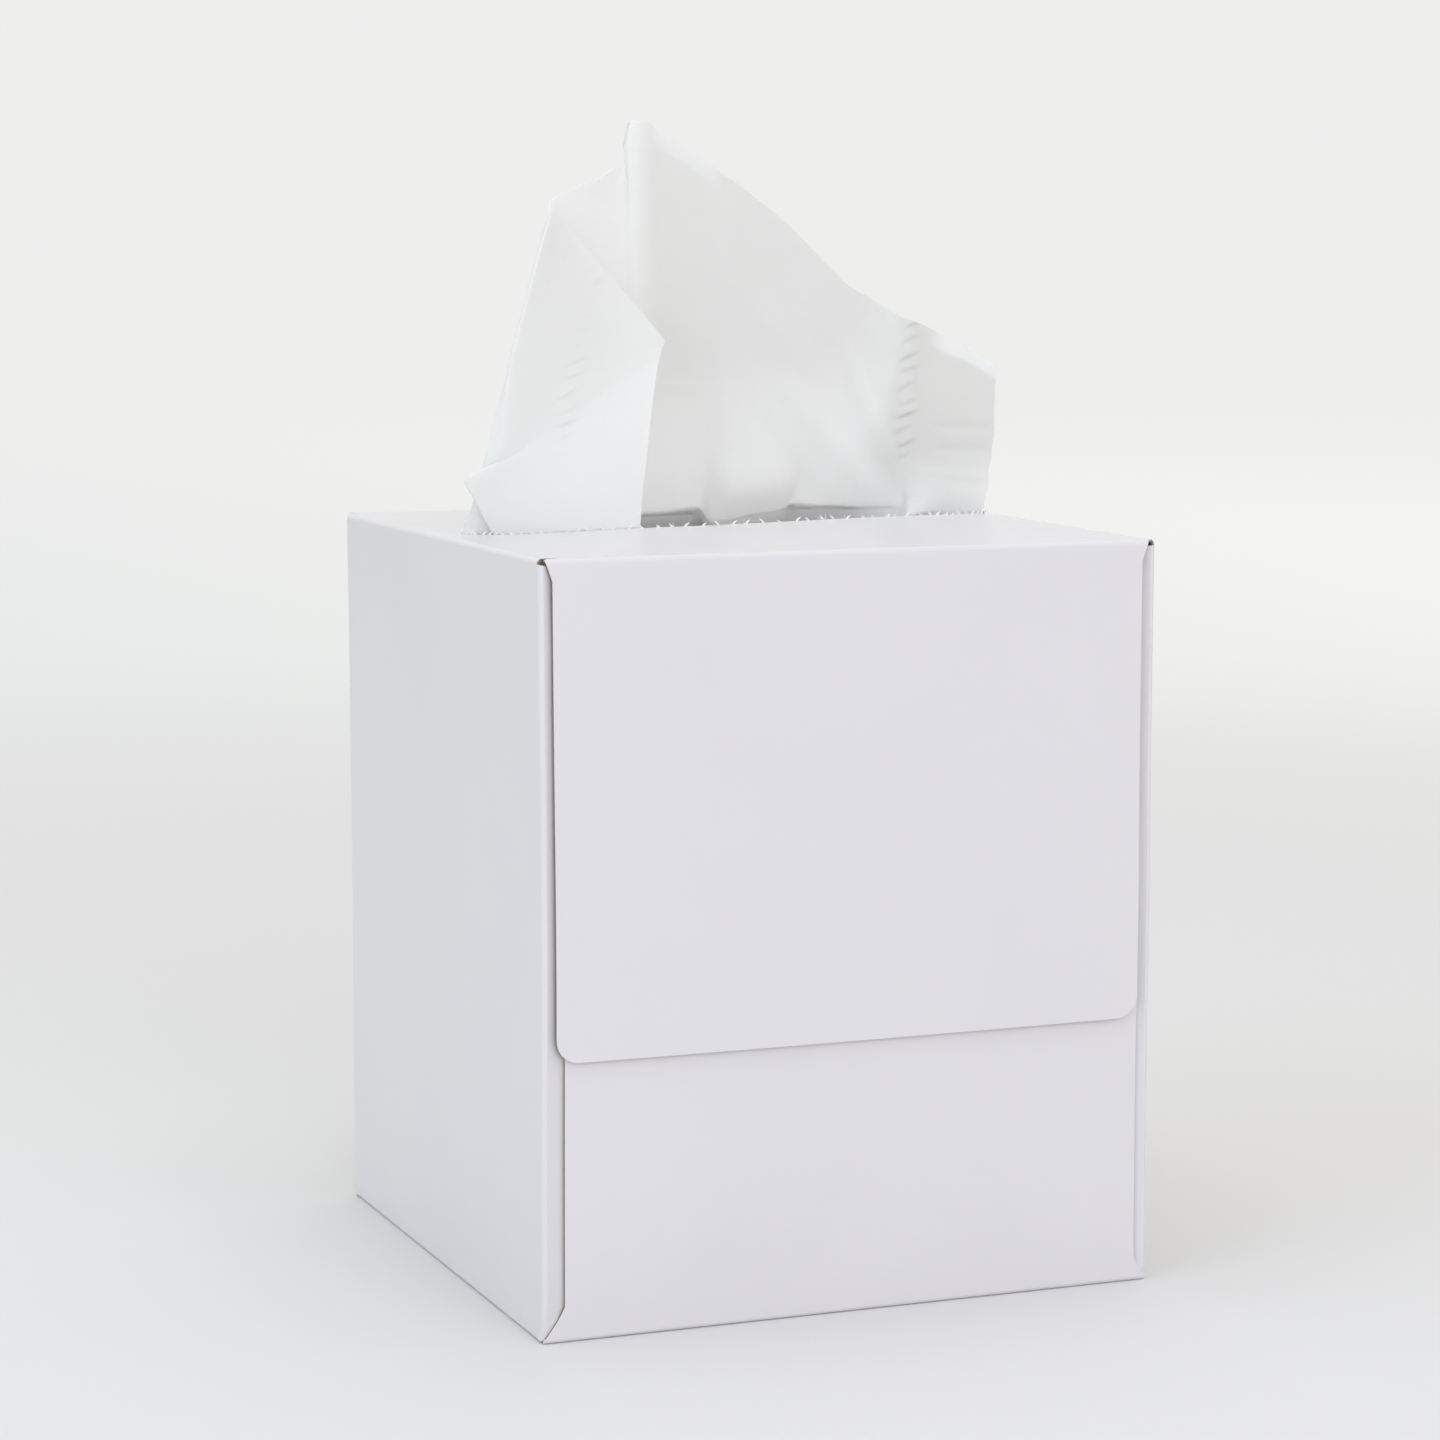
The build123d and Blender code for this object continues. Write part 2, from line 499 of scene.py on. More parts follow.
@dataclass(frozen=True)
class TissuePaper:
    """Two soft creped plies that let some light through."""

    white: tuple = (0.972, 0.978, 0.962)
    shade: tuple = (0.957, 0.963, 0.948)
    # Painted light: the tone of the strips of one ply stands in for light passing through one ply.
    single_ply_painted_light: tuple = (0.925, 0.930, 0.915)
    # Painted shade: the darker tone given to the upright part and the right side.
    painted_shade_tone: tuple = (0.835, 0.842, 0.812)
    see_through: float = 0.45

    def make(self) -> bpy.types.Material:
        """Builds the material.

        Returns:
            The finished material.
        """
        paper = Finish("tissue_paper")
        sheet = paper.place("UV")
        paper.set(Roughness=0.95, Specular_IOR_Level=0.15, Sheen_Weight=0.12)
        crepe = paper.fibres(sheet, 38.0, 0.18)
        clouds = paper.fibres(sheet, 9.0, 1.0)
        both_plies = paper.ramp(clouds.outputs["Fibre"], self.shade, self.white, 0.35, 0.65)
        # Painted shade: a darker tone in the upright part and at the right stands in for shade.
        painted_shade = paper.node("ShaderNodeAttribute", attribute_name="painted_shade")
        shade_painted = paper.mix(painted_shade.outputs["Fac"], both_plies, self.painted_shade_tone)
        # The strips of one ply are real; their tone is painted to stand in for light passing
        # through one ply.
        one_ply_painted_light = paper.node("ShaderNodeAttribute", attribute_name="single_ply_painted_light")
        tone = paper.mix(one_ply_painted_light.outputs["Fac"], shade_painted, self.single_ply_painted_light)
        paper.links.new(tone, paper.shader.inputs["Base Color"])
        soft = paper.bump(clouds.outputs["Fibre"], 0.10, 0.0003)
        fine = paper.bump(crepe.outputs["Fibre"], 0.25, 0.00008, soft)
        paper.links.new(fine, paper.shader.inputs["Normal"])
        glow = paper.node("ShaderNodeBsdfTranslucent")
        paper.links.new(tone, glow.inputs["Color"])
        paper.links.new(soft, glow.inputs["Normal"])
        both = paper.node("ShaderNodeMixShader")
        both.inputs["Fac"].default_value = self.see_through
        paper.links.new(paper.shader.outputs[0], both.inputs[1])
        paper.links.new(glow.outputs[0], both.inputs[2])
        paper.links.new(both.outputs[0], paper.output.inputs["Surface"])
        return paper.material


@dataclass(frozen=True)
class StackedTissue:
    """The clip of tissues seen as a block: soft paper with the edges of its sheets."""

    white: tuple = (0.86, 0.862, 0.852)
    shade: tuple = (0.70, 0.70, 0.69)

    def make(self) -> bpy.types.Material:
        """Builds the material.

        Returns:
            The finished material.
        """
        stack = Finish("stacked_tissue")
        place = stack.place()
        stack.set(Roughness=0.96, Specular_IOR_Level=0.12, Sheen_Weight=0.1)
        crepe = stack.fibres(place, 420.0, 0.2)
        tone = stack.ramp(crepe.outputs["Fibre"], self.shade, self.white, 0.2, 0.55)
        stack.links.new(tone, stack.shader.inputs["Base Color"])
        relief = stack.bump(crepe.outputs["Fibre"], 0.5, 0.0002)
        stack.links.new(relief, stack.shader.inputs["Normal"])
        return stack.material


@dataclass(frozen=True)
class HotMelt:
    """Glue that has set: pale amber and a little cloudy."""

    clear: tuple = (0.80, 0.74, 0.60)
    cloudy: tuple = (0.88, 0.85, 0.76)

    def make(self) -> bpy.types.Material:
        """Builds the material.

        Returns:
            The finished material.
        """
        glue = Finish("hot_melt_glue")
        glue.set(Roughness=0.3, Specular_IOR_Level=0.5, Subsurface_Weight=0.3)
        glue.set(Subsurface_Scale=0.001)
        clouds = glue.fibres(glue.place(), 600.0, 1.0)
        tone = glue.ramp(clouds.outputs["Cloud"], self.clear, self.cloudy)
        glue.links.new(tone, glue.shader.inputs["Base Color"])
        relief = glue.bump(clouds.outputs["Cloud"], 0.3, 0.0001)
        glue.links.new(relief, glue.shader.inputs["Normal"])
        return glue.material


@dataclass(frozen=True)
class CartonSizes:
    """The carton's sizes, as its board was cut and folded."""

    width: float = 108.5
    depth: float = 108.5
    height: float = 127.0
    board: float = 0.45
    layer_step: float = 0.7
    mouth_half_length: float = 49.0
    mouth_half_width: float = 14.5
    cell: float = 3.6
    fold_cell: float = 1.4
    corner: tuple = (2.2, 3.0, 1.2)

    @property
    def half_width(self) -> float:
        """Half of the width."""
        return self.width / 2

    @property
    def half_depth(self) -> float:
        """Half of the depth."""
        return self.depth / 2


@dataclass(frozen=True)
class BoardSpring:
    """How far the folded board springs away from flat."""

    sizes: CartonSizes = CartonSizes()
    crown_places: tuple = (-54.3, -49.0, -23.0, -8.0, 19.0, 33.0, 42.0, 49.0, 54.3)
    crown_heights: tuple = (0.0, 0.0, 1.1, 1.45, 1.9, 1.7, 1.35, 0.8, 0.0)
    rear_crown: float = 0.35
    left_bow: float = -0.4
    right_bow: float = -0.2
    end_bow: float = 0.5
    flap_lift: float = 0.25
    fold_swell: float = 1.1
    right_swell: float = 0.5
    left_reach: float = 2.9
    right_reach: float = 1.9
    left_foot: tuple = (0.5, 4.5)
    right_foot: tuple = (0.0, 2.5)
    left_draw: float = 0.8
    right_draw: float = 1.5
    corner_drop: float = 0.4
    corner_width: tuple = (5.0, 0.9)
    corner_depth: tuple = (3.0, 2.0)
    drop_height: tuple = (3.0, 0.9)
    swell_full: float = 0.6
    swell_depth: tuple = (12.0, 2.5)
    wave_size: float = 45.0
    wave_height: float = 0.18
    lift_start: float = 5.0
    lift_length: float = 80.0
    lift_foot: float = 40.0

    def crown(self, x: float, y: float) -> float:
        """How far the top wall stands up at a place.

        Args:
            x: Place along the mouth, in millimetres.
            y: Place across the mouth, in millimetres.

        Returns:
            The rise in millimetres.
        """
        along = read_curve(list(self.crown_places), list(self.crown_heights), x)
        across = max(1 - (y / self.sizes.half_depth) ** 2, 0.0)
        rear = 1 + self.rear_crown * smooth_step(-15.0, 15.0, y)
        return max(along, 0.0) * across * rear

    def bow(self, share: float) -> float:
        """A springy line between two held ends, for a share from -1 to 1."""
        return max(1 - share * share, 0.0)

    def move(self, place: Vector) -> Vector:
        """Where the spring takes a point of the flat-walled carton.

        Args:
            place: The point, in millimetres.

        Returns:
            The point on the sprung board.
        """
        sizes = self.sizes
        middle = sizes.height / 2
        up = self.bow((place.z - middle) / middle)
        across = place.x / sizes.half_width
        along = place.y / sizes.half_depth
        side = 0.6 + 0.4 * self.bow(along)
        x_push = up * side * (self.right_bow if across > 0 else -self.left_bow) * across**2
        end_push = up * self.bow(across) * self.end_bow * math.copysign(along**4, along)
        lift = self.lift(place)
        z_push = self.crown(place.x, place.y) * smooth_step(0.8, 1.0, place.z / sizes.height)
        drift = noise.noise(place / self.wave_size) * self.wave_height * up
        push = Vector((x_push + drift * across, end_push - lift + drift * along, z_push))
        return place + push + self.swell(place) + self.pinch(place)

    def swell(self, place: Vector) -> Vector:
        """How far the upright folds stand out where the outer flaps don't hold them in.

        Args:
            place: The point, in millimetres.

        Returns:
            The push in millimetres.
        """
        sizes = self.sizes
        if abs(place.y) > sizes.half_depth - 2 * sizes.layer_step + 0.1:
            return Vector((0, 0, 0))
        reach = self.right_reach if place.x > 0 else self.left_reach
        near_fold = smooth_step(reach, self.swell_full, sizes.half_width - abs(place.x))
        near_end = smooth_step(*self.swell_depth, sizes.half_depth - abs(place.y))
        foot = self.right_foot if place.x > 0 else self.left_foot
        out = near_fold * near_end * smooth_step(*foot, place.z)
        side = self.right_swell if place.x > 0 else 0.0
        return Vector((side * out, math.copysign(self.fold_swell, place.y) * out, 0))

    def pinch(self, place: Vector) -> Vector:
        """How far the lower corners are drawn shut, where the folds of two flaps meet.

        Args:
            place: The point, in millimetres.

        Returns:
            The push in millimetres: outwards for the lower flap, down for the flap under it.
        """
        sizes = self.sizes
        near_side = smooth_step(*self.corner_width, sizes.half_width - abs(place.x))
        if abs(place.y) > sizes.half_depth - 2 * sizes.layer_step + 0.1:
            draw = self.right_draw if place.x > 0 else self.left_draw
            out = draw * near_side * smooth_step(self.corner_width[0], 0.0, place.z)
            return Vector((math.copysign(out, place.x), 0, 0))
        near_end = smooth_step(*self.corner_depth, sizes.half_depth - abs(place.y))
        low = smooth_step(*self.drop_height, place.z)
        down = self.corner_drop * near_side * near_end * low
        return Vector((0, 0, -down * (place.z > sizes.board + 0.1)))

    def lift(self, place: Vector) -> float:
        """How far the free end of a front or back outer flap stands away.

        Args:
            place: The point, in millimetres.

        Returns:
            The distance in millimetres, signed by the carton's end.
        """
        sizes = self.sizes
        outermost = abs(place.y) > sizes.half_depth - sizes.board - 0.1
        in_flap = self.lift_foot < place.z <= sizes.height - self.lift_start
        if not outermost or not in_flap:
            return 0.0
        drop = (sizes.height - place.z) / self.lift_length
        return math.copysign(self.flap_lift * min(drop, 1.0) ** 2, -place.y)


@dataclass(frozen=True)
class TornEdge:
    """Sizes of the perforation's torn teeth and fibres."""

    seed: int = 7
    teeth: int = 112
    root_radius: float = 0.25
    lowest: float = 0.75
    highest: float = 1.3
    fibre_share: float = 0.5
    fibre_radius: float = 0.07
    tuft_place: float = 10.6
    tuft_length: float = 1.5


class Carton:
    """The folded and glued carton: sprung board, torn mouth and glue."""

    def __init__(self, sizes: CartonSizes, spring: BoardSpring, node: bpy.types.Object) -> None:
        """Keeps what the carton is made from.

        Args:
            sizes: The carton's sizes.
            spring: How its board springs away from flat.
            node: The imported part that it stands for.
        """
        self.sizes = sizes
        self.spring = spring
        self.node = node

    def folded_blank(self) -> bmesh.types.BMesh:
        """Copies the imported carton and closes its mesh.

        Returns:
            The copy, in millimetres.
        """
        form = bmesh.new()
        form.from_mesh(self.node.data)
        bmesh.ops.scale(form, vec=(1 / MM, 1 / MM, 1 / MM), verts=form.verts)
        bmesh.ops.remove_doubles(form, verts=form.verts, dist=0.001)
        return form

    def tell_surfaces(self, form: bmesh.types.BMesh) -> None:
        """Gives each face its surface: a cut edge has much board behind it, a wall has little.

        Args:
            form: The mesh under way.
        """
        tree = BVHTree.FromBMesh(form)
        centre = Vector((0, 0, self.sizes.height / 2))
        for face in form.faces:
            middle = face.calc_center_median()
            start = middle - face.normal * 0.01
            hit = tree.ray_cast(start, -face.normal)
            thick = hit[3] if hit[3] is not None else 0.0
            if not 0.6 * self.sizes.board < thick + 0.01 < 1.25 * self.sizes.board:
                pinched = self.in_lower_corner(middle)
                surface = Board.COATED if pinched else Board.CUT_EDGE
                face.material_index = surface.value
            elif face.normal.dot(self.outwards(middle, centre)) > 0:
                face.material_index = Board.COATED.value
            else:
                face.material_index = Board.GREY_BACK.value

    def in_lower_corner(self, place: Vector) -> bool:
        """Whether a place is in a lower corner, where the coating is drawn over the cut.

        Args:
            place: The point, in millimetres.

        Returns:
            True in a lower corner.
        """
        sizes = self.sizes
        width, depth, height = sizes.corner
        beside = sizes.half_width - abs(place.x) < width
        return beside and sizes.half_depth - abs(place.y) < depth and place.z < height

    def outwards(self, place: Vector, centre: Vector) -> Vector:
        """Away from the middle of the carton, by the wall that a place is nearest to.

        Args:
            place: The point, in millimetres.
            centre: The carton's middle.

        Returns:
            The way outwards.
        """
        sizes = self.sizes
        away = place - centre
        shares = Vector(
            (away.x / sizes.half_width, away.y / sizes.half_depth, away.z * 2 / sizes.height)
        )
        strength = [abs(share) ** 40 for share in shares]
        return Vector([math.copysign(s, share) for s, share in zip(strength, shares)])

    def cut_lines(self, half: float, middle: float) -> list[float]:
        """Places of the lines along which one direction of the walls may bend.

        Args:
            half: Half of the carton's size in that direction.
            middle: The carton's middle there.

        Returns:
            The places in millimetres.
        """
        count = round(2 * half / self.sizes.cell)
        lines = [middle - half + 2 * half * i / count for i in range(1, count)]
        near = self.sizes.fold_cell
        return lines + [middle - half + near, middle + half - near]

    def give_bending_lines(self, form: bmesh.types.BMesh) -> None:
        """Cuts the walls into cells, so that they can bend without changing their outline.

        Args:
            form: The mesh under way.
        """
        sizes = self.sizes
        ways = (
            (Vector((1, 0, 0)), self.cut_lines(sizes.half_width, 0)),
            (Vector((0, 1, 0)), self.cut_lines(sizes.half_depth, 0)),
            (Vector((0, 0, 1)), self.cut_lines(sizes.height / 2, sizes.height / 2)),
        )
        for way, lines in ways:
            for line in lines:
                every = form.verts[:] + form.edges[:] + form.faces[:]
                bmesh.ops.bisect_plane(
                    form, geom=every, dist=0.0005, plane_co=way * line, plane_no=way
                )

    def mark_wear(self, form: bmesh.types.BMesh) -> None:
        """Notes how near each point is to a fold, where the coating is strained.

        Args:
            form: The mesh under way.
        """
        sizes = self.sizes
        layer = form.verts.layers.float.new("fold_wear")
        for vertex in form.verts:
            gaps = sorted(
                (
                    abs(sizes.half_width - abs(vertex.co.x)),
                    abs(sizes.half_depth - abs(vertex.co.y)),
                    abs(min(vertex.co.z, sizes.height - vertex.co.z)),
                )
            )
            vertex[layer] = 0.5 * hump(gaps[1], 1.0)

    def round_mouth(self, form: bmesh.types.BMesh) -> None:
        """Puts the points of the mouth's edge on its true oval.

        Args:
            form: The mesh under way.
        """
        sizes = self.sizes
        long = sizes.mouth_half_length
        wide = sizes.mouth_half_width
        for vertex in form.verts:
            if vertex.co.z < sizes.height - 1.5 * sizes.board:
                continue
            reach = math.hypot(vertex.co.x / long, vertex.co.y / wide)
            if abs(reach - 1) < 0.02 and abs(vertex.co.x) < long + 0.1:
                vertex.co.x /= reach
                vertex.co.y /= reach

    def build(self, materials: list[bpy.types.Material]) -> bpy.types.Object:
        """Builds the carton from its blank and the spring of its board.

        Args:
            materials: Materials in the order of Board.

        Returns:
            The carton.
        """
        form = self.folded_blank()
        self.tell_surfaces(form)
        self.give_bending_lines(form)
        self.round_mouth(form)
        self.mark_wear(form)
        for vertex in form.verts:
            vertex.co = self.spring.move(vertex.co)
        form.normal_update()
        soften(form, 32)
        carton = finish_piece(form, "carton_board", materials)
        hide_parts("carton")
        return carton

    def build_torn_edge(self, torn: TornEdge, material: bpy.types.Material) -> bpy.types.Object:
        """Builds the curled teeth and loose fibres round the mouth.

        Args:
            torn: Sizes of the torn edge.
            material: The material of torn fibres.

        Returns:
            All of them as one piece.
        """
        form = bmesh.new()
        luck = random.Random(torn.seed)
        sizes = self.sizes
        for i in range(torn.teeth):
            turn = 2 * math.pi * (i + luck.uniform(-0.25, 0.25)) / torn.teeth
            x = sizes.mouth_half_length * math.cos(turn)
            y = sizes.mouth_half_width * math.sin(turn)
            base = Vector((x, y, sizes.height - sizes.board / 2 + self.spring.crown(x, y)))
            inward = Vector((-x / sizes.mouth_half_length**2, -y / sizes.mouth_half_width**2, 0))
            inward.normalize()
            sideways = inward.cross(Vector((0, 0, 1))) * luck.choice((-1, 1))
            height = luck.uniform(torn.lowest, torn.highest)
            start = base - inward * torn.root_radius * 0.3
            lean = Vector((0, 0, 1)) + inward * luck.uniform(-0.35, 0.2) + sideways * 0.4
            self.add_curl(form, start, lean, sideways, height, torn.root_radius)
            if luck.random() < torn.fibre_share:
                lean = Vector((0, 0, 1)) + inward * 0.3 - sideways * luck.uniform(0.4, 1.4)
                self.add_curl(form, start, lean, sideways, height * 1.1, torn.fibre_radius)
            if y < 0 and abs(x - torn.tuft_place) < 1.0:
                for side in (-1.2, -0.3, 0.9):
                    lean = Vector((side, -0.1, 1.0))
                    self.add_curl(form, start, lean, sideways, torn.tuft_length, 0.09)
        form.normal_update()
        soften(form, 50)
        return finish_piece(form, "mouth_torn_edge", [material])

    def add_curl(
        self,
        form: bmesh.types.BMesh,
        start: Vector,
        lean: Vector,
        sideways: Vector,
        length: float,
        radius: float,
    ) -> None:
        """Adds one curled tooth of torn board: three short tapering lengths, each bent further.

        Args:
            form: The mesh under way.
            start: Its root.
            lean: The way that it sets out.
            sideways: The way that it curls.
            length: Its length.
            radius: Its radius at the root.
        """
        pieces = 3
        way = lean.normalized()
        for i in range(pieces):
            step = way * length / pieces
            turn = way.to_track_quat("Z", "Y").to_matrix().to_4x4()
            bmesh.ops.create_cone(
                form,
                segments=6,
                radius1=radius * (1 - 0.25 * i),
                radius2=radius * (1 - 0.25 * (i + 1)),
                depth=step.length * 1.1,
                cap_ends=True,
                matrix=Matrix.Translation(start + step / 2) @ turn,
            )
            start = start + step
            way = (way + sideways * 0.55).normalized()


@dataclass(frozen=True)
class StackSizes:
    """Sizes of the clip of tissues that is bent over inside the carton."""

    outer_radius: float = 53.3
    thickness: float = 27.5
    centre: float = 67.05
    floor: float = 0.75
    half_length: float = 51.9
    sheets: int = 42
    groove: float = 0.22

    @property
    def quarter(self) -> float:
        """Length of outer surface from the top of the bend to the top of a leg."""
        return self.outer_radius * math.pi / 2

    def outer_leg(self) -> float:
        """How long a leg is outside: the sheets are equally long, so the ends slope."""
        return self.centre - self.floor - math.pi * self.thickness / 2

    def on_outside(self, along: float, y: float, lift: float) -> Vector:
        """A place on the outside of the bent stack.

        Args:
            along: Length from the top of the bend, positive to the right.
            y: Place across the sheets.
            lift: Height above the surface.

        Returns:
            The place in millimetres.
        """
        reach = self.outer_radius + lift
        if abs(along) <= self.quarter:
            turn = along / self.outer_radius
            return Vector((reach * math.sin(turn), y, self.centre + reach * math.cos(turn)))
        down = abs(along) - self.quarter
        return Vector((math.copysign(reach, along), y, self.centre - down))


class TissueStack:
    """The clip of interfolded tissues, bent into an upside-down U."""

    def __init__(self, sizes: StackSizes) -> None:
        """Keeps the sizes."""
        self.sizes = sizes

    def build(self, material: bpy.types.Material) -> bpy.types.Object:
        """Builds the bend by turning the clip's grooved end, and the legs by drawing it down.

        Args:
            material: The material of stacked tissue.

        Returns:
            The stack.
        """
        sizes = self.sizes
        form = bmesh.new()
        profile = self.clip_section(form)
        turned = bmesh.ops.spin(
            form,
            geom=profile,
            cent=(0, 0, sizes.centre),
            axis=(0, 1, 0),
            angle=math.pi,
            steps=48,
            use_duplicate=False,
        )
        ends = [e for e in turned["geom_last"] if isinstance(e, bmesh.types.BMEdge)]
        for rim in (profile, ends):
            self.draw_leg(form, rim)
        bmesh.ops.remove_doubles(form, verts=form.verts, dist=0.001)
        bmesh.ops.holes_fill(form, edges=[e for e in form.edges if e.is_boundary])
        bmesh.ops.recalc_face_normals(form, faces=form.faces)
        soften(form, 40)
        stack = finish_piece(form, "tissue_clip", [material])
        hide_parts("tissue_stack")
        return stack

    def clip_section(self, form: bmesh.types.BMesh) -> list[bmesh.types.BMEdge]:
        """The clip's edge at the left of the bend, with a groove between every two sheets.

        Args:
            form: The mesh under way.

        Returns:
            The edges of that outline.
        """
        sizes = self.sizes
        corners = bmesh.ops.create_grid(form, x_segments=1, y_segments=1, size=0.5)["verts"]
        across = Matrix.Diagonal((sizes.thickness, 2 * sizes.half_length, 1, 1))
        middle = Vector((sizes.thickness / 2 - sizes.outer_radius, 0, sizes.centre))
        bmesh.ops.transform(form, matrix=Matrix.Translation(middle) @ across, verts=corners)
        bmesh.ops.delete(form, geom=form.faces[:], context="FACES_ONLY")
        long = [e for e in form.edges if abs(e.verts[0].co.x - e.verts[1].co.x) > 1]
        bmesh.ops.subdivide_edges(form, edges=long, cuts=2 * sizes.sheets - 1)
        step = sizes.thickness / (2 * sizes.sheets)
        for vertex in form.verts:
            number = round((vertex.co.x + sizes.outer_radius) / step)
            if number % 2 == 0 and 0 < number < 2 * sizes.sheets:
                vertex.co.y -= math.copysign(sizes.groove, vertex.co.y)
        return form.edges[:]

    def draw_leg(self, form: bmesh.types.BMesh, rim: list[bmesh.types.BMEdge]) -> None:
        """Draws one leg down from a rim of the bend, longer at its inner side.

        Args:
            form: The mesh under way.
            rim: The edges that the leg starts from.
        """
        sizes = self.sizes
        drawn = bmesh.ops.extrude_edge_only(form, edges=rim)["geom"]
        for vertex in drawn:
            if not isinstance(vertex, bmesh.types.BMVert):
                continue
            inwards = sizes.outer_radius - abs(vertex.co.x)
            longer = math.pi * inwards / 2
            vertex.co.z -= sizes.outer_leg() + longer


@dataclass(frozen=True)
class Seen:
    """A place picked in the photograph, with its depth.

    The column and row are pixels of the photograph's frame, and the depth is the place's Y
    in millimetres, which was judged.
    """

    column: float
    row: float
    depth: float


@dataclass(frozen=True)
class Viewpoint:
    """Where the photograph was taken from, and how its pixels lie."""

    place: tuple = (-0.2540406, -0.6364122, 0.1789379)
    turn: float = -21.585
    tip: float = 7.167
    lean: float = 0.011
    focal_pixels: float = 3931.3
    picture_pixels: float = 1440.0

    def rotation(self) -> Euler:
        """How the camera is turned, apart from its lean, which is too small to show."""
        return Euler((math.radians(90 - self.tip), 0, math.radians(self.turn)))

    def find(self, seen: Seen) -> Vector:
        """Where a place of the photograph lies.

        Args:
            seen: The place, with its depth.

        Returns:
            The place in millimetres.
        """
        middle = self.picture_pixels / 2
        sight = Vector((seen.column - middle, middle - seen.row, -self.focal_pixels))
        sight.rotate(Euler((0, 0, math.radians(self.lean))))
        sight.rotate(self.rotation())
        start = Vector(self.place) / MM
        return start + sight * ((seen.depth - start.y) / sight.y)


@dataclass(frozen=True)
class Guide:
    """A line of the raised tissue that runs up from the mouth to the sheet's top edge.

    Each point is its place along the mouth, its depth, and its height above the top wall,
    in millimetres. A line without shares has its points at equal steps of the way up.
    """

    points: tuple
    shares: tuple = ()

    def place(self, share: float, base: float) -> Vector:
        """Where the line passes.

        Args:
            share: Share of the way up.
            base: Height that the line's own heights are counted from.

        Returns:
            The place in millimetres.
        """
        count = len(self.points)
        knots = list(self.shares) or [i / (count - 1) for i in range(count)]
        found = read_curve(knots, [Vector(point) for point in self.points], share)
        return found + Vector((0, 0, base))


@dataclass(frozen=True)
class SeenLine:
    """A line of the raised tissue as it shows in the photograph, from the mouth upwards."""

    name: str
    seen: tuple
    shares: tuple = ()

    def guide(self, view: Viewpoint, base: float) -> Guide:
        """Finds the line in the frame, to a tenth of a millimetre.

        Args:
            view: Where the photograph was taken from.
            base: Height of the flat top wall.

        Returns:
            The line in millimetres.
        """
        points = []
        for seen in self.seen:
            place = view.find(seen)
            found = (place.x, seen.depth, place.z - base)
            points.append(tuple(round(number, 1) for number in found))
        return Guide(tuple(points), self.shares)


CUFF = (0.0, 0.22, 0.42, 0.48, 0.74, 1.0)
ROLL = (0.0, 0.22, 0.48, 0.71, 0.88, 0.945, 1.0)
FLARE = (0.0, 0.1, 0.25, 0.5, 0.75, 1.0)

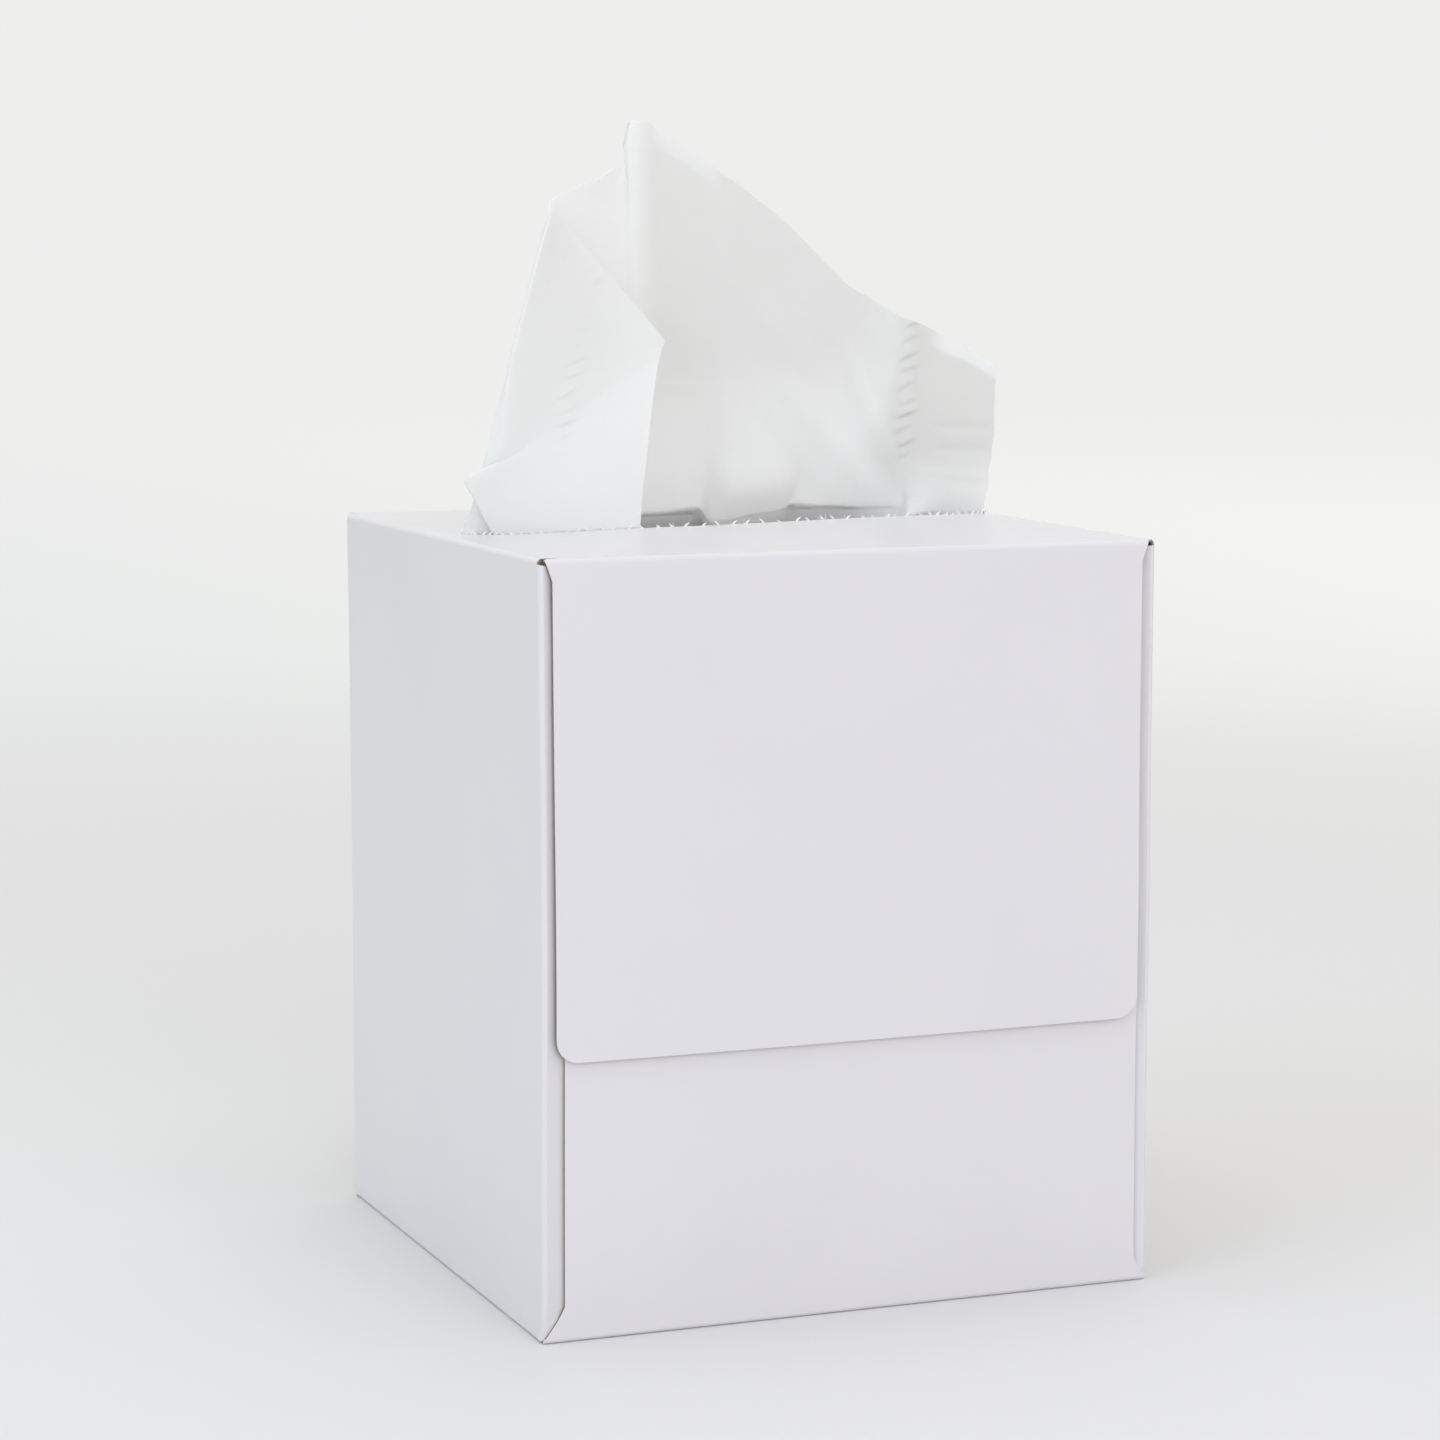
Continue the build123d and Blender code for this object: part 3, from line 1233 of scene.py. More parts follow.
TISSUE_LINES = (
    SeenLine(
        "free edge",
        (
            Seen(640, 528, -12.5), Seen(644, 480, -7.0), Seen(658, 366, 4.2),
            Seen(661, 353, 5.3), Seen(663.5, 346, 6.0), Seen(665, 341, 6.4),
        ),
        CUFF,
    ),
    SeenLine(
        "front a",
        (
            Seen(600, 530, -11.2), Seen(604, 478, -6.2), Seen(612, 390, 2.6),
            Seen(614, 372, 3.6), Seen(622, 345, 4.9), Seen(632, 301, 6.8),
        ),
        CUFF,
    ),
    SeenLine(
        "front b",
        (
            Seen(550, 532, -8.9), Seen(548, 500, -6.2), Seen(562, 428, -0.2),
            Seen(564, 412, 0.6), Seen(575, 350, 3.0), Seen(594, 258, 5.6),
        ),
        CUFF,
    ),
    SeenLine(
        "front c",
        (
            Seen(510, 535, -6.3), Seen(506, 505, -5.2), Seen(515, 455, -2.0),
            Seen(517, 452, -1.4), Seen(540, 345, 1.2), Seen(565, 222, 3.6),
        ),
        CUFF,
    ),
    SeenLine(
        "cuff edge",
        (
            Seen(493, 535, -4.8), Seen(476, 502, -4.4), Seen(467, 479, -3.4),
            Seen(485, 484, -2.2), Seen(513, 352, 0.2), Seen(552, 206, 2.2),
        ),
        CUFF,
    ),
    SeenLine(
        "tuck",
        (
            Seen(494, 536, -4.3), Seen(483, 500, -3.8), Seen(477, 482, -2.6),
            Seen(486, 470, -1.2), Seen(514, 345, 0.7), Seen(551, 204, 2.6),
        ),
        CUFF,
    ),
    SeenLine(
        "fold",
        (
            Seen(465, 534, -1.3), Seen(472, 507, -1.0), Seen(480, 480, -0.2),
            Seen(487, 450, 0.4), Seen(517, 336, 1.6), Seen(550, 202, 3.0),
        ),
        CUFF,
    ),
    SeenLine(
        "back a",
        (
            Seen(478, 530, 3.4), Seen(492, 470, 3.8), Seen(515, 380, 4.2),
            Seen(545, 280, 4.4), Seen(566, 191, 4.6),
        ),
    ),
    SeenLine(
        "back b",
        (
            Seen(505, 524, 7.4), Seen(520, 460, 8.4), Seen(545, 370, 8.6),
            Seen(572, 270, 8.2), Seen(598, 178, 7.4),
        ),
    ),
    SeenLine(
        "back c",
        (
            Seen(545, 518, 10.8), Seen(562, 450, 12.0), Seen(582, 360, 12.0),
            Seen(604, 260, 11.1), Seen(618, 166, 9.9),
        ),
    ),
    SeenLine(
        "pleat in",
        (
            Seen(600, 512, 12.4), Seen(614, 430, 13.4), Seen(623, 330, 12.6),
            Seen(627, 240, 11.4), Seen(628, 163, 10.3),
        ),
    ),
    SeenLine(
        "pleat back",
        (
            Seen(606, 512, 12.2), Seen(620, 430, 13.3), Seen(628, 330, 12.4),
            Seen(630, 240, 11.25), Seen(628, 170, 10.3), Seen(623.5, 147, 10.2),
            Seen(628.5, 123.5, 10.1),
        ),
        ROLL,
    ),
    SeenLine(
        "pleat face",
        (
            Seen(616, 513, 12.2), Seen(628, 430, 13.2), Seen(635, 330, 12.1),
            Seen(636.5, 240, 10.95), Seen(635, 170, 10.0), Seen(633, 145, 9.9),
            Seen(637, 121.3, 9.8),
        ),
        ROLL,
    ),
    SeenLine(
        "pleat right",
        (
            Seen(628, 513, 12.8), Seen(642, 430, 13.7), Seen(646, 330, 12.7),
            Seen(647, 240, 11.45), Seen(646, 170, 10.4), Seen(646, 144, 10.3),
            Seen(648, 121.5, 10.2),
        ),
        ROLL,
    ),
    SeenLine(
        "panel a",
        (
            Seen(640, 513.5, 13.4), Seen(655, 440, 14.5), Seen(662, 342, 13.6),
            Seen(662, 240, 12.2), Seen(660, 133, 11.0),
        ),
    ),
    SeenLine(
        "panel b",
        (
            Seen(664, 512, 13.7), Seen(676, 440, 14.7), Seen(684, 345, 14.0),
            Seen(694, 245, 12.7), Seen(703, 161, 11.7),
        ),
    ),
    SeenLine(
        "panel c",
        (
            Seen(700, 508.5, 13.7), Seen(702, 484, 14.0), Seen(704, 440, 14.4),
            Seen(712, 345, 14.0), Seen(720, 255, 12.8), Seen(727, 177, 12.0),
        ),
        FLARE,
    ),
    SeenLine(
        "bulge a",
        (
            Seen(709, 521, 12.2), Seen(715, 490, 12.4), Seen(718, 445, 13.4),
            Seen(724, 345, 13.6), Seen(732, 262, 12.9), Seen(740, 185, 12.2),
        ),
        FLARE,
    ),
    SeenLine(
        "bulge b",
        (
            Seen(726, 520.5, 11.6), Seen(729, 492, 11.0), Seen(733, 450, 12.6),
            Seen(740, 360, 13.4), Seen(752, 285, 13.1), Seen(763, 204, 12.4),
        ),
        FLARE,
    ),
    SeenLine(
        "bulge c",
        (
            Seen(745, 515.5, 11.8), Seen(748, 492, 10.7), Seen(752, 455, 12.1),
            Seen(764, 375, 13.2), Seen(778, 300, 13.1), Seen(792, 228, 12.6),
        ),
        FLARE,
    ),
    SeenLine(
        "bulge d",
        (
            Seen(767, 512, 12.0), Seen(772, 490, 11.1), Seen(778, 460, 12.1),
            Seen(794, 390, 13.0), Seen(815, 330, 13.0), Seen(835, 273, 12.6),
        ),
        FLARE,
    ),
    SeenLine(
        "bulge e",
        (
            Seen(785, 507.5, 12.4), Seen(789, 488, 12.0), Seen(796, 460, 12.4),
            Seen(812, 395, 12.95), Seen(833, 335, 13.0), Seen(852, 288, 12.6),
        ),
        FLARE,
    ),
    SeenLine(
        "panel d",
        (
            Seen(790, 503.5, 12.9), Seen(806, 460, 12.65), Seen(824, 398, 12.95),
            Seen(846, 340, 12.9), Seen(868, 297, 12.6),
        ),
    ),
    SeenLine(
        "panel e",
        (
            Seen(818, 505, 12.4), Seen(832, 460, 12.3), Seen(850, 400, 12.3),
            Seen(868, 343, 12.1), Seen(884, 306, 12.0),
        ),
    ),
    SeenLine(
        "panel f",
        (
            Seen(856, 506.5, 11.2), Seen(868, 460, 10.9), Seen(878, 405, 10.6),
            Seen(890, 350, 10.6), Seen(899, 315, 10.8),
        ),
    ),
    SeenLine(
        "crease",
        (
            Seen(900, 508, 4.6), Seen(901, 496, 5.8), Seen(902, 470, 6.7),
            Seen(903, 420, 7.8), Seen(906, 365, 8.9), Seen(911, 320, 9.4),
        ),
        FLARE,
    ),
    SeenLine(
        "panel g",
        (
            Seen(909, 515, 0.6), Seen(910, 497, 3.8), Seen(912, 470, 6.0),
            Seen(916, 420, 7.5), Seen(921, 370, 8.6), Seen(927, 327, 9.1),
        ),
        FLARE,
    ),
    SeenLine(
        "panel h",
        (
            Seen(926, 511.5, 0.6), Seen(928, 470, 5.0), Seen(932, 420, 6.8),
            Seen(938, 370, 7.9), Seen(946, 338, 8.5),
        ),
    ),
    SeenLine(
        "panel i",
        (
            Seen(952, 511.5, 1.2), Seen(954, 470, 3.8), Seen(958, 425, 5.4),
            Seen(964, 385, 6.6), Seen(968, 348, 7.6),
        ),
    ),
    SeenLine(
        "right edge",
        (
            Seen(983, 511, 0.4), Seen(988, 478, 1.6), Seen(993, 440, 3.2),
            Seen(994, 400, 4.8), Seen(997, 366, 6.2),
        ),
    ),
)


@dataclass(frozen=True)
class SoftFold:
    """A long shallow ridge or hollow of the tissue, seen from the front."""

    start: tuple
    end: tuple
    half_width: float
    height: float

    def reach(self, x: float, up: float) -> float:
        """How far the fold pushes a place towards the front.

        Args:
            x: Place along the mouth.
            up: Height above the top wall.

        Returns:
            The push in millimetres.
        """
        line = Vector(self.end) - Vector(self.start)
        away = Vector((x, up)) - Vector(self.start)
        share = away.dot(line) / line.length_squared
        off = (away - line * share).length
        taper = smooth_step(-0.15, 0.25, share) * (1 - smooth_step(0.8, 1.2, share))
        return self.height * taper * hump(off, self.half_width)


@dataclass(frozen=True)
class TissueSizes:
    """Sizes of the sheet before it was folded, and of how it leaves the carton."""

    width: float = 213.0
    length: float = 208.0
    thickness: float = 0.16
    columns: int = 270
    raised_rows: int = 126
    inside_rows: int = 30
    lower_rows: int = 18
    fold_depth: float = 44.0
    front_reach: float = -51.6
    upper_lift: float = 0.36
    lower_lift: float = 0.14
    wall_room: float = 53.6
    wall_clearance: float = 0.3
    rim_wrap: float = 0.6
    crimp_pitch: float = 2.6
    crimp_height: float = 0.9
    crimp_half_width: float = 2.3
    ply_step: float = 2.4


class RaisedTissue:
    """The tissue that stands up out of the mouth, with its half that still lies inside."""

    folds = (
        SoftFold((14.0, 25.0), (33.0, 2.5), 2.8, 0.5),
        SoftFold((26.8, 30.5), (34.2, 9.5), 1.5, 0.45),
        SoftFold((8.0, 20.0), (22.0, 2.0), 2.4, -0.3),
        SoftFold((-9.5, 24.3), (0.5, 24.0), 0.8, 0.16),
        SoftFold((2.0, 44.0), (22.0, 26.0), 3.0, 0.25),
        SoftFold((-9.0, 55.0), (-8.0, 28.0), 1.8, -0.15),
        SoftFold((42.0, 16.1), (51.0, 15.8), 0.9, -0.28),
        SoftFold((41.5, 12.1), (50.5, 11.9), 0.8, -0.22),
        SoftFold((37.0, 8.5), (49.0, 7.0), 0.9, 0.2),
    )

    def __init__(self, sizes: TissueSizes, stack: StackSizes, spring: BoardSpring) -> None:
        """Keeps the sizes and works out how far apart the guide lines lie.

        Args:
            sizes: The sheet's sizes.
            stack: Sizes of the stack that it rests on.
            spring: How the carton's board springs away from flat.
        """
        self.sizes = sizes
        self.stack = stack
        self.spring = spring
        view = Viewpoint()
        self.guides = [line.guide(view, spring.sizes.height) for line in TISSUE_LINES]
        self.numbers = {line.name: i for i, line in enumerate(TISSUE_LINES)}
        self.reached = self.guide_lengths()
        self.knots = [length / self.reached[-1] for length in self.reached]

    def guide_lengths(self) -> list[float]:
        """Length across the sheet up to each guide line, by its distances low and half way up.

        Returns:
            The lengths in millimetres, in the order of the guide lines.
        """
        low = [guide.place(0.0, 0) for guide in self.guides]
        middle = [guide.place(0.45, 0) for guide in self.guides]
        reached = [0.0]
        for i in range(1, len(middle)):
            apart = (low[i] - low[i - 1]).length + (middle[i] - middle[i - 1]).length
            reached.append(reached[-1] + apart / 2 + 0.3)
        return reached

    def knot(self, name: str) -> float:
        """Share of the sheet's width at a named guide line."""
        return self.knots[self.numbers[name]]

    def raised_place(self, across: float, share: float) -> Vector:
        """Where a point of the raised half is.

        Args:
            across: Share of the sheet's width.
            share: Share of the way up.

        Returns:
            The place in millimetres.
        """
        row = [guide.place(share, self.spring.sizes.height) for guide in self.guides]
        return read_curve(self.knots, row, across)

    def ceiling(self, place: Vector) -> float:
        """Height under the sprung top wall at a place.

        Args:
            place: The point, in millimetres.

        Returns:
            The height in millimetres, far above the carton within the mouth.
        """
        carton = self.spring.sizes
        reach = math.hypot(
            place.x / carton.mouth_half_length, place.y / carton.mouth_half_width
        )
        if reach < 1.0:
            return carton.height * 2
        underside = carton.height - carton.board + self.spring.crown(place.x, place.y)
        return underside - self.sizes.wall_clearance

    def inside_place(self, across: float, share: float, mouth: Vector) -> Vector:
        """Where a point between the mouth and the sheet's fold lies on the stack.

        Args:
            across: Share of the sheet's width.
            share: Share of the way from the mouth to the fold.
            mouth: Where its column passes the mouth.

        Returns:
            The place, kept inside the carton's walls.
        """
        stack = self.stack
        sizes = self.sizes
        out = Vector((mouth.x, mouth.z - stack.centre))
        along = stack.outer_radius * math.atan2(out.x, out.y)
        target = (across - 0.5) * sizes.width * 0.98
        rear = smooth_step(4.0, 11.0, mouth.y)
        wrap = sizes.rim_wrap * rear * smooth_step(0.0, 0.01, share)
        place = stack.on_outside(
            along + (target - along) * share**1.8,
            mouth.y + wrap + (sizes.fold_depth - mouth.y - wrap) * share ** (2 - 0.5 * rear),
            (out.length - stack.outer_radius) * (1 - share) ** 2.4 + sizes.upper_lift * share,
        )
        place.x = min(max(place.x, -sizes.wall_room), sizes.wall_room)
        place.z = min(place.z, self.ceiling(place))
        return place

    def lower_place(self, across: float, share: float) -> Vector:
        """Where a point of the lower half lies on the stack.

        Args:
            across: Share of the sheet's width.
            share: Share of the way from the fold to the front edge.

        Returns:
            The place in millimetres.
        """
        sizes = self.sizes
        y = sizes.fold_depth + (sizes.front_reach - sizes.fold_depth) * share
        return self.stack.on_outside((across - 0.5) * sizes.width * 0.98, y, sizes.lower_lift)

    def crimp(self, off: float, up: float) -> float:
        """Height of the pads pressed through both plies near a side edge.

        Args:
            off: Distance across the sheet from the row of pads.
            up: Height above the top wall.

        Returns:
            The height in millimetres: each pad stands out most at its lower end.
        """
        sizes = self.sizes
        drift = noise.noise(Vector((0.0, up / 6, 4.0)))
        beat = up / sizes.crimp_pitch + 0.12 * off + 0.9 * drift
        number = math.floor(beat)
        part = beat - number
        pad = smooth_step(0.0, 0.2, part) * (1 - part) ** 1.2
        luck = 0.45 + 0.9 * abs(noise.noise(Vector((number * 0.77, 1.3, 2.1))))
        side = 0.6 * math.sin(number * 2.3)
        low = smooth_step(6.0, 17.0, up)
        return sizes.crimp_height * pad * luck * low * hump(off - side, sizes.crimp_half_width)

    def ripple(self, place: Vector, across: float) -> float:
        """Small waves of soft paper, longer across the sheet than up it.

        Args:
            place: The point, in millimetres.
            across: Share of the sheet's width.

        Returns:
            The height in millimetres.
        """
        slow = noise.noise(Vector((place.x / 15, place.y / 15, place.z / 11)))
        quick = noise.noise(Vector((across * 50, place.z / 3.0, 3.0)))
        return 0.22 * slow + 0.04 * quick

    def push(self, place: Vector, across: float, share: float) -> Vector:
        """How the folds, ripples and pressed pads move a point of the raised half.

        Args:
            place: The point, in millimetres.
            across: Share of the sheet's width.
            share: Share of the way up.

        Returns:
            The push in millimetres.
        """
        up = place.z - self.spring.sizes.height
        fade = smooth_step(0.0, 3.0, up)
        behind = smooth_step(self.knot("pleat face"), self.knot("pleat right"), across)
        folds = sum(fold.reach(place.x, up) for fold in self.folds) * behind
        width = self.reached[-1]
        inset = (1 - self.knot("crease")) * width
        off = min(across, 1 - across) * width - inset
        waves = self.ripple(place, across) + self.crimp(off, up) * (0.45 + 0.55 * behind)
        edge = noise.noise(Vector((0.0, up / 3.5, 9.0))) * 0.5 * smooth_step(0.985, 1.0, across)
        top = noise.noise(Vector((place.x / 2.6, 5.0, 0.0))) * 0.22 * smooth_step(0.97, 1.0, share)
        return Vector((edge, -(folds + waves) * fade, top))

    def strip_of_one_ply(self, across: float, below: float) -> float:
        """How far the paper at a place is a single ply.

        Args:
            across: Share of the sheet's width.
            below: How far it lies below the sheet's top edge.

        Returns:
            A share from 0 to 1.
        """
        # The strips of one ply are real; their tone is painted to stand in for light passing
        # through one ply.
        left = smooth_step(self.knot("pleat right"), self.knot("panel a"), across)
        left *= 1 - smooth_step(self.knot("panel b"), self.knot("panel c"), across)
        right = smooth_step(self.knot("panel g"), self.knot("panel h"), across)
        step = self.sizes.ply_step
        return max(left, right) * (1 - smooth_step(0.85 * step, 1.15 * step, below))

    def stretch(self, across: float, up: float) -> float:
        """How much shade is painted into the paper's tone: most in the upright part, and at the
        right.

        Args:
            across: Share of the sheet's width.
            up: Height above the top wall.

        Returns:
            A share from 0 to 1.
        """
        behind = smooth_step(self.knot("pleat back"), self.knot("panel a"), across)
        upright = 0.13 * (1 - behind) + 0.62 * behind * smooth_step(10.0, 34.0, up)
        right = smooth_step(self.knot("panel e"), self.knot("panel g"), across)
        return max(upright, 0.95 * right * smooth_step(0.0, 14.0, up))

    def build(self, material: bpy.types.Material) -> bpy.types.Object:
        """Builds the sheet flat at its cut size, then lays it along its guide lines.

        Args:
            material: The material of tissue paper.

        Returns:
            The tissue.
        """
        sizes = self.sizes
        rows = sizes.raised_rows + sizes.inside_rows + sizes.lower_rows
        form = bmesh.new()
        form.loops.layers.uv.new("sheet")
        bmesh.ops.create_grid(
            form, x_segments=sizes.columns, y_segments=rows, size=0.5, calc_uvs=True
        )
        self.write_flat_places(form)
        log.info("guide lines cover %.0f mm", self.reached[-1])
        plies = form.verts.layers.float.new("single_ply_painted_light")
        # This layer holds the share of painted shade, most in the upright part and at the right.
        shade_painted = form.verts.layers.float.new("painted_shade")
        columns = [i / sizes.columns for i in range(sizes.columns + 1)]
        mouths = [self.raised_place(across, 0) for across in columns]
        tops = [self.raised_place(across, 1) for across in columns]
        for vertex in form.verts:
            across = vertex.co.x + 0.5
            row = round((vertex.co.y + 0.5) * rows)
            column = round(across * sizes.columns)
            vertex.co = self.laid(across, row, mouths[column])
            vertex[plies] = self.strip_of_one_ply(across, tops[column].z - vertex.co.z)
            vertex[shade_painted] = self.stretch(across, vertex.co.z - self.spring.sizes.height)
        bmesh.ops.recalc_face_normals(form, faces=form.faces)
        soften(form, 180)
        tissue = finish_piece(form, "raised_tissue_sheet", [material])
        both_plies = tissue.modifiers.new("plies", "SOLIDIFY")
        both_plies.thickness = sizes.thickness * MM
        both_plies.offset = 0.0
        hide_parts("raised_tissue")
        return tissue

    def laid(self, across: float, row: int, mouth: Vector) -> Vector:
        """Where a point of the flat sheet lies.

        Args:
            across: Share of the sheet's width.
            row: Its row, counted from the front edge inside.
            mouth: Where its column passes the mouth.

        Returns:
            The place in millimetres.
        """
        sizes = self.sizes
        if row < sizes.lower_rows:
            return self.lower_place(across, 1 - row / sizes.lower_rows)
        row -= sizes.lower_rows
        if row < sizes.inside_rows:
            return self.inside_place(across, (1 - row / sizes.inside_rows) ** 1.6, mouth)
        share = (row - sizes.inside_rows) / sizes.raised_rows
        place = self.raised_place(across, share)
        return place + self.push(place, across, share)

    def write_flat_places(self, form: bmesh.types.BMesh) -> None:
        """Writes each point's place on the flat sheet, in decimetres, into its UV map.

        Args:
            form: The flat grid.
        """
        layer = form.loops.layers.uv["sheet"]
        for face in form.faces:
            for loop in face.loops:
                loop[layer].uv = (
                    (loop.vert.co.x + 0.5) * self.sizes.width / 100,
                    (loop.vert.co.y + 0.5) * self.sizes.length / 100,
                )


class FlapGlue:
    """The set glue between the flaps of one end."""

    lump_size: float = 1.4
    lump_height: float = 0.35

    def __init__(self, node: str) -> None:
        """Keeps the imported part's name."""
        self.node = node

    def build(self, source: bpy.types.Object, material: bpy.types.Material) -> bpy.types.Object:
        """Builds the beads as pressed, uneven drops.

        Args:
            source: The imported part, whose separate beads give the places.
            material: The material of set glue.

        Returns:
            The beads as one piece.
        """
        form = bmesh.new()
        form.from_mesh(source.data)
        bmesh.ops.scale(form, vec=(1 / MM, 1 / MM, 1 / MM), verts=form.verts)
        bmesh.ops.remove_doubles(form, verts=form.verts, dist=0.001)
        bmesh.ops.subdivide_edges(form, edges=form.edges[:], cuts=5, use_grid_fill=True)
        for vertex in form.verts:
            spot = vertex.co / self.lump_size
            vertex.co.x += self.lump_height * noise.noise(spot)
            vertex.co.z += self.lump_height * noise.noise(spot + Vector((9, 0, 0)))
        form.normal_update()
        soften(form, 50)
        glue = finish_piece(form, f"{self.node}_beads", [material])
        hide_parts(self.node)
        return glue


@dataclass(frozen=True)
class Lamp:
    """A soft square lamp that faces the carton."""

    name: str
    place: tuple
    size: float
    power: float
    colour: tuple

    def build(self) -> None:
        """Adds the lamp, turned towards the middle of the carton."""
        light = bpy.data.lights.new(self.name, "AREA")
        light.size = self.size
        light.energy = self.power
        light.color = self.colour
        lamp = bpy.data.objects.new(self.name, light)
        bpy.context.scene.collection.objects.link(lamp)
        lamp.location = self.place
        towards = Vector((0, 0, 0.08)) - Vector(self.place)
        lamp.rotation_euler = towards.to_track_quat("-Z", "Y").to_euler()
        lamp.visible_glossy = False


@dataclass(frozen=True)
class Studio:
    """Pale floor, soft light and the camera's place."""

    floor_radius: float = 4.0
    floor_colour: tuple = (0.745, 0.745, 0.735)
    # Painted light on the far floor: cool at the left, warm and brighter at the right.
    far_left_painted_light: tuple = (0.800, 0.818, 0.812)
    far_right_painted_light: tuple = (0.915, 0.910, 0.885)
    sky_colour: tuple = (0.855, 0.855, 0.850)
    front_light: float = 0.64
    rear_light: float = 0.84
    room_colour: tuple = (1.0, 0.995, 0.94)
    lamps: tuple = (
        Lamp("left_window", (-1.9, -0.5, 1.1), 1.8, 13.0, (0.63, 0.75, 1.0)),
        Lamp("top_box", (0.1, -0.2, 1.9), 1.8, 9.0, (0.89, 0.89, 1.0)),
        Lamp("front_box", (0.0, -2.0, 0.9), 1.6, 15.5, (0.90, 0.86, 1.0)),
    )
    view: Viewpoint = Viewpoint()
    sensor: float = 36.0

    def build(self) -> None:
        """Builds the floor, the world, the lamps and the camera."""
        self.floor()
        self.world()
        for lamp in self.lamps:
            lamp.build()
        self.camera()

    def floor(self) -> None:
        """A wide disc whose far part fades into the background."""
        form = bmesh.new()
        bmesh.ops.create_circle(form, cap_ends=True, segments=96, radius=self.floor_radius)
        mesh = bpy.data.meshes.new("floor")
        form.to_mesh(mesh)
        form.free()
        floor = bpy.data.objects.new("floor", mesh)
        bpy.context.scene.collection.objects.link(floor)
        paper = Finish("floor_paper")
        paper.set(Roughness=0.75, Specular_IOR_Level=0.2)
        paper.shader.inputs["Base Color"].default_value = (*self.floor_colour, 1.0)
        place = paper.place()
        grain = paper.fibres(place, 240.0, 1.0)
        relief = paper.bump(grain.outputs["Fibre"], 0.05, 0.0001)
        paper.links.new(relief, paper.shader.inputs["Normal"])
        far = paper.node("ShaderNodeVectorMath", operation="LENGTH")
        paper.links.new(place, far.inputs[0])
        fade = paper.node("ShaderNodeMapRange", interpolation_type="SMOOTHERSTEP")
        fade.inputs["From Min"].default_value = 0.25
        fade.inputs["From Max"].default_value = 1.1
        paper.links.new(far.outputs["Value"], fade.inputs["Value"])
        ray = paper.node("ShaderNodeLightPath")
        seen = paper.node("ShaderNodeMath", operation="MULTIPLY")
        paper.links.new(fade.outputs["Result"], seen.inputs[0])
        paper.links.new(ray.outputs["Is Camera Ray"], seen.inputs[1])
        near_far = paper.node("ShaderNodeMapRange", interpolation_type="SMOOTHSTEP")
        near_far.inputs["From Min"].default_value = 0.7
        near_far.inputs["From Max"].default_value = 3.6
        paper.links.new(far.outputs["Value"], near_far.inputs["Value"])
        # Painted light: the glowing far floor is cooler at the left and warmer and brighter at the
        # right, as the room light falls.
        aside = paper.node("ShaderNodeSeparateXYZ")
        paper.links.new(place, aside.inputs["Vector"])
        right = paper.node("ShaderNodeMapRange", interpolation_type="SMOOTHSTEP")
        right.inputs["From Min"].default_value = -0.2
        right.inputs["From Max"].default_value = 1.1
        paper.links.new(aside.outputs["X"], right.inputs["Value"])
        painted_side_light = paper.mix(right.outputs["Result"], self.far_left_painted_light, self.far_right_painted_light)
        tone = paper.mix(near_far.outputs["Result"], painted_side_light, self.sky_colour)
        glow = paper.node("ShaderNodeEmission")
        paper.links.new(tone, glow.inputs["Color"])
        both = paper.node("ShaderNodeMixShader")
        paper.links.new(seen.outputs[0], both.inputs[0])
        paper.links.new(paper.shader.outputs[0], both.inputs[1])
        paper.links.new(glow.outputs[0], both.inputs[2])
        paper.links.new(both.outputs[0], paper.output.inputs["Surface"])
        mesh.materials.append(paper.material)

    def world(self) -> None:
        """A plain pale surrounding that lights softly and is seen as the background."""
        world = bpy.data.worlds.new("surrounding")
        bpy.context.scene.world = world
        world.use_nodes = True
        nodes = world.node_tree.nodes
        links = world.node_tree.links
        light = nodes["Background"]
        light.inputs["Color"].default_value = (*self.room_colour, 1.0)
        way = nodes.new("ShaderNodeSeparateXYZ")
        links.new(nodes.new("ShaderNodeTexCoord").outputs["Generated"], way.inputs["Vector"])
        spread = nodes.new("ShaderNodeMapRange")
        spread.inputs["From Min"].default_value = -0.35
        spread.inputs["From Max"].default_value = 0.35
        spread.inputs["To Min"].default_value = self.front_light
        spread.inputs["To Max"].default_value = self.rear_light
        links.new(way.outputs["Y"], spread.inputs["Value"])
        links.new(spread.outputs["Result"], light.inputs["Strength"])
        seen = nodes.new("ShaderNodeBackground")
        seen.inputs["Color"].default_value = (*self.sky_colour, 1.0)
        ray = nodes.new("ShaderNodeLightPath")
        either = nodes.new("ShaderNodeMath")
        either.operation = "MAXIMUM"
        links.new(ray.outputs["Is Camera Ray"], either.inputs[0])
        links.new(ray.outputs["Is Transmission Ray"], either.inputs[1])
        third = nodes.new("ShaderNodeMath")
        third.operation = "MAXIMUM"
        links.new(either.outputs[0], third.inputs[0])
        links.new(ray.outputs["Is Glossy Ray"], third.inputs[1])
        both = nodes.new("ShaderNodeMixShader")
        links.new(third.outputs[0], both.inputs[0])
        links.new(light.outputs[0], both.inputs[1])
        links.new(seen.outputs[0], both.inputs[2])
        links.new(both.outputs[0], nodes["World Output"].inputs["Surface"])

    def camera(self) -> None:
        """Sets the camera where the photograph was taken."""
        lens = bpy.data.cameras.new("camera")
        lens.sensor_width = self.sensor
        lens.lens = self.sensor * self.view.focal_pixels / self.view.picture_pixels
        camera = bpy.data.objects.new("camera", lens)
        bpy.context.scene.collection.objects.link(camera)
        camera.location = self.view.place
        camera.rotation_euler = self.view.rotation()
        bpy.context.scene.camera = camera


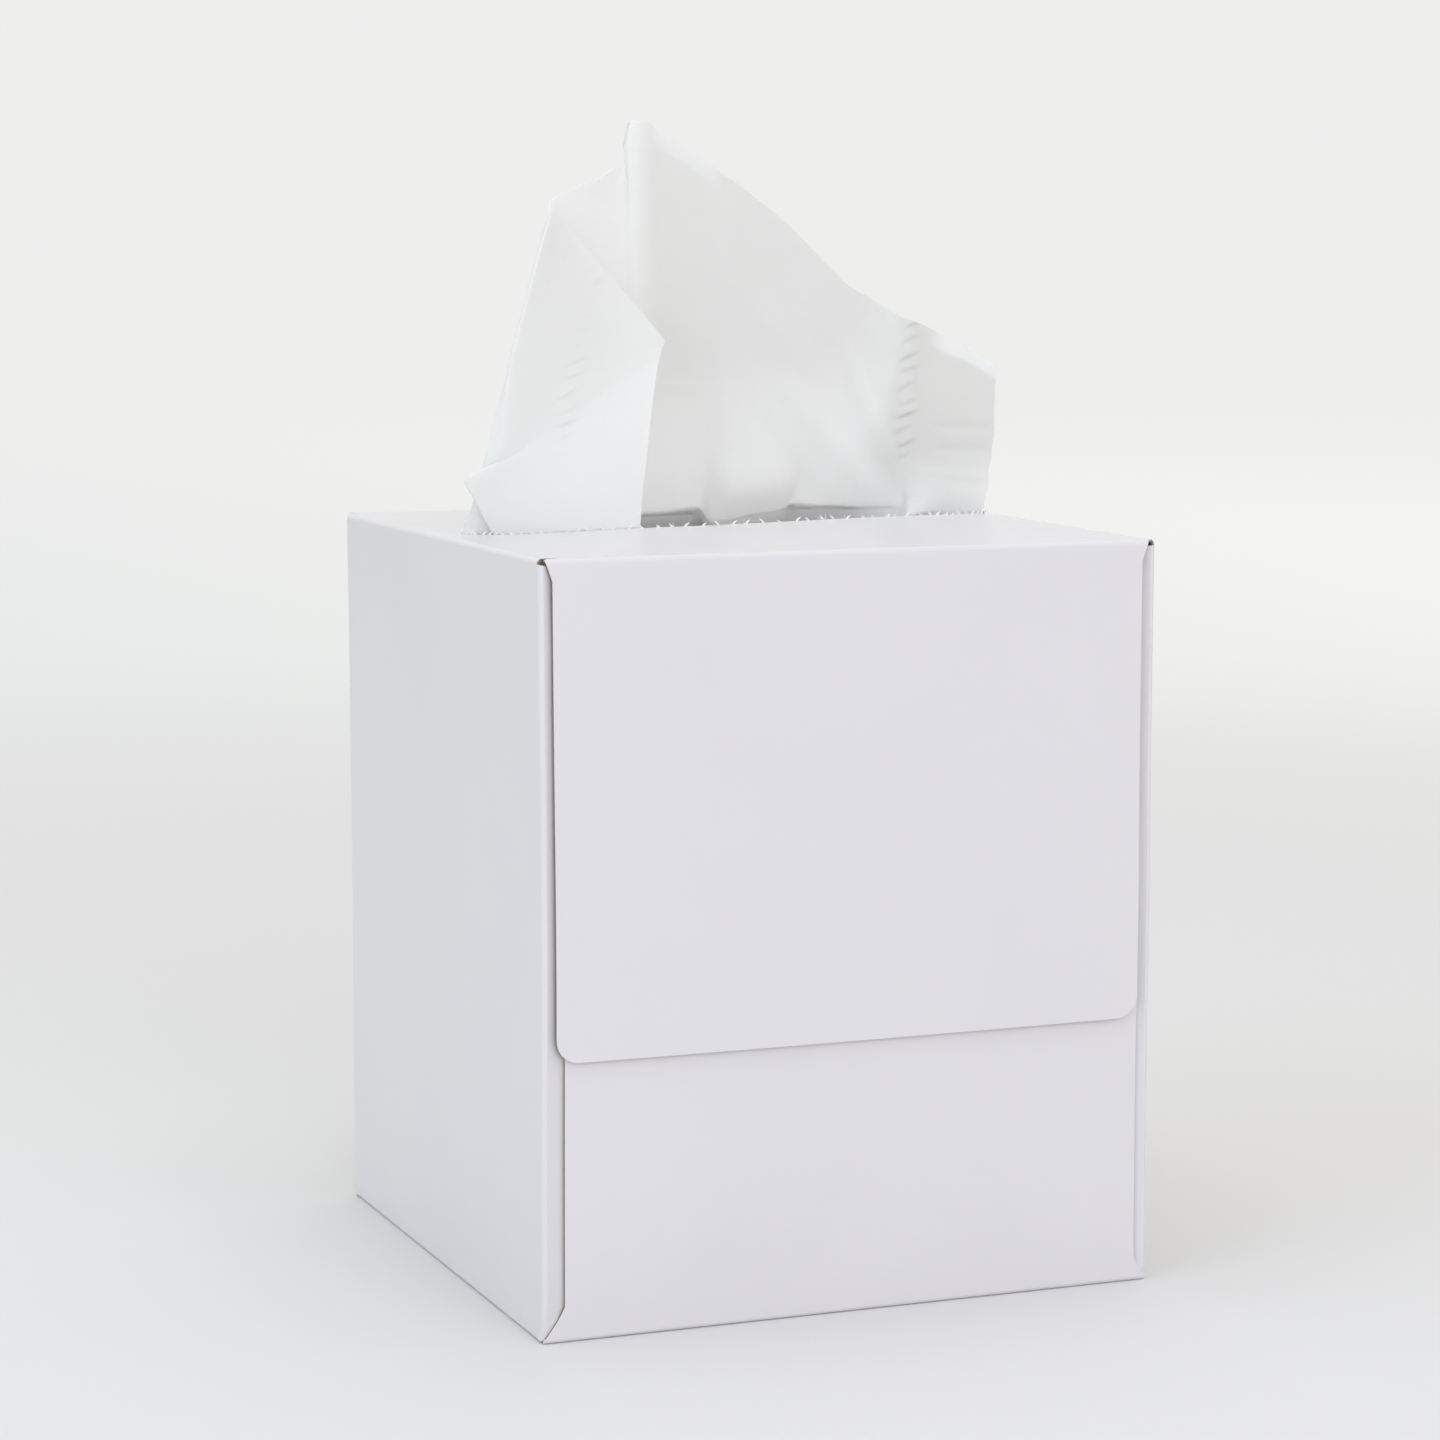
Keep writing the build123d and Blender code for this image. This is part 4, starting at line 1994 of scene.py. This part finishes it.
def main() -> None:
    """Builds every piece in order."""
    logging.basicConfig(level=logging.INFO, format="%(message)s")
    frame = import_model()
    nodes = frame["nodes"]
    bpy.context.scene.view_settings.view_transform = "Standard"
    sizes = CartonSizes()
    glue_material = HotMelt().make()
    carton = Carton(sizes, BoardSpring(sizes), nodes["carton"])
    carton.build([CoatedBoard().make(), GreyBack().make(), CutEdge().make()])
    carton.build_torn_edge(TornEdge(), TornFibres().make())
    stack = StackSizes()
    TissueStack(stack).build(StackedTissue().make())
    RaisedTissue(TissueSizes(), stack, carton.spring).build(TissuePaper().make())
    for name in ("front_flap_glue", "back_flap_glue"):
        FlapGlue(name).build(nodes[name], glue_material)
    seam = nodes["seam_glue"]
    seam.data.materials.clear()
    seam.data.materials.append(glue_material)
    Studio().build()


if __name__ == "__main__":
    main()
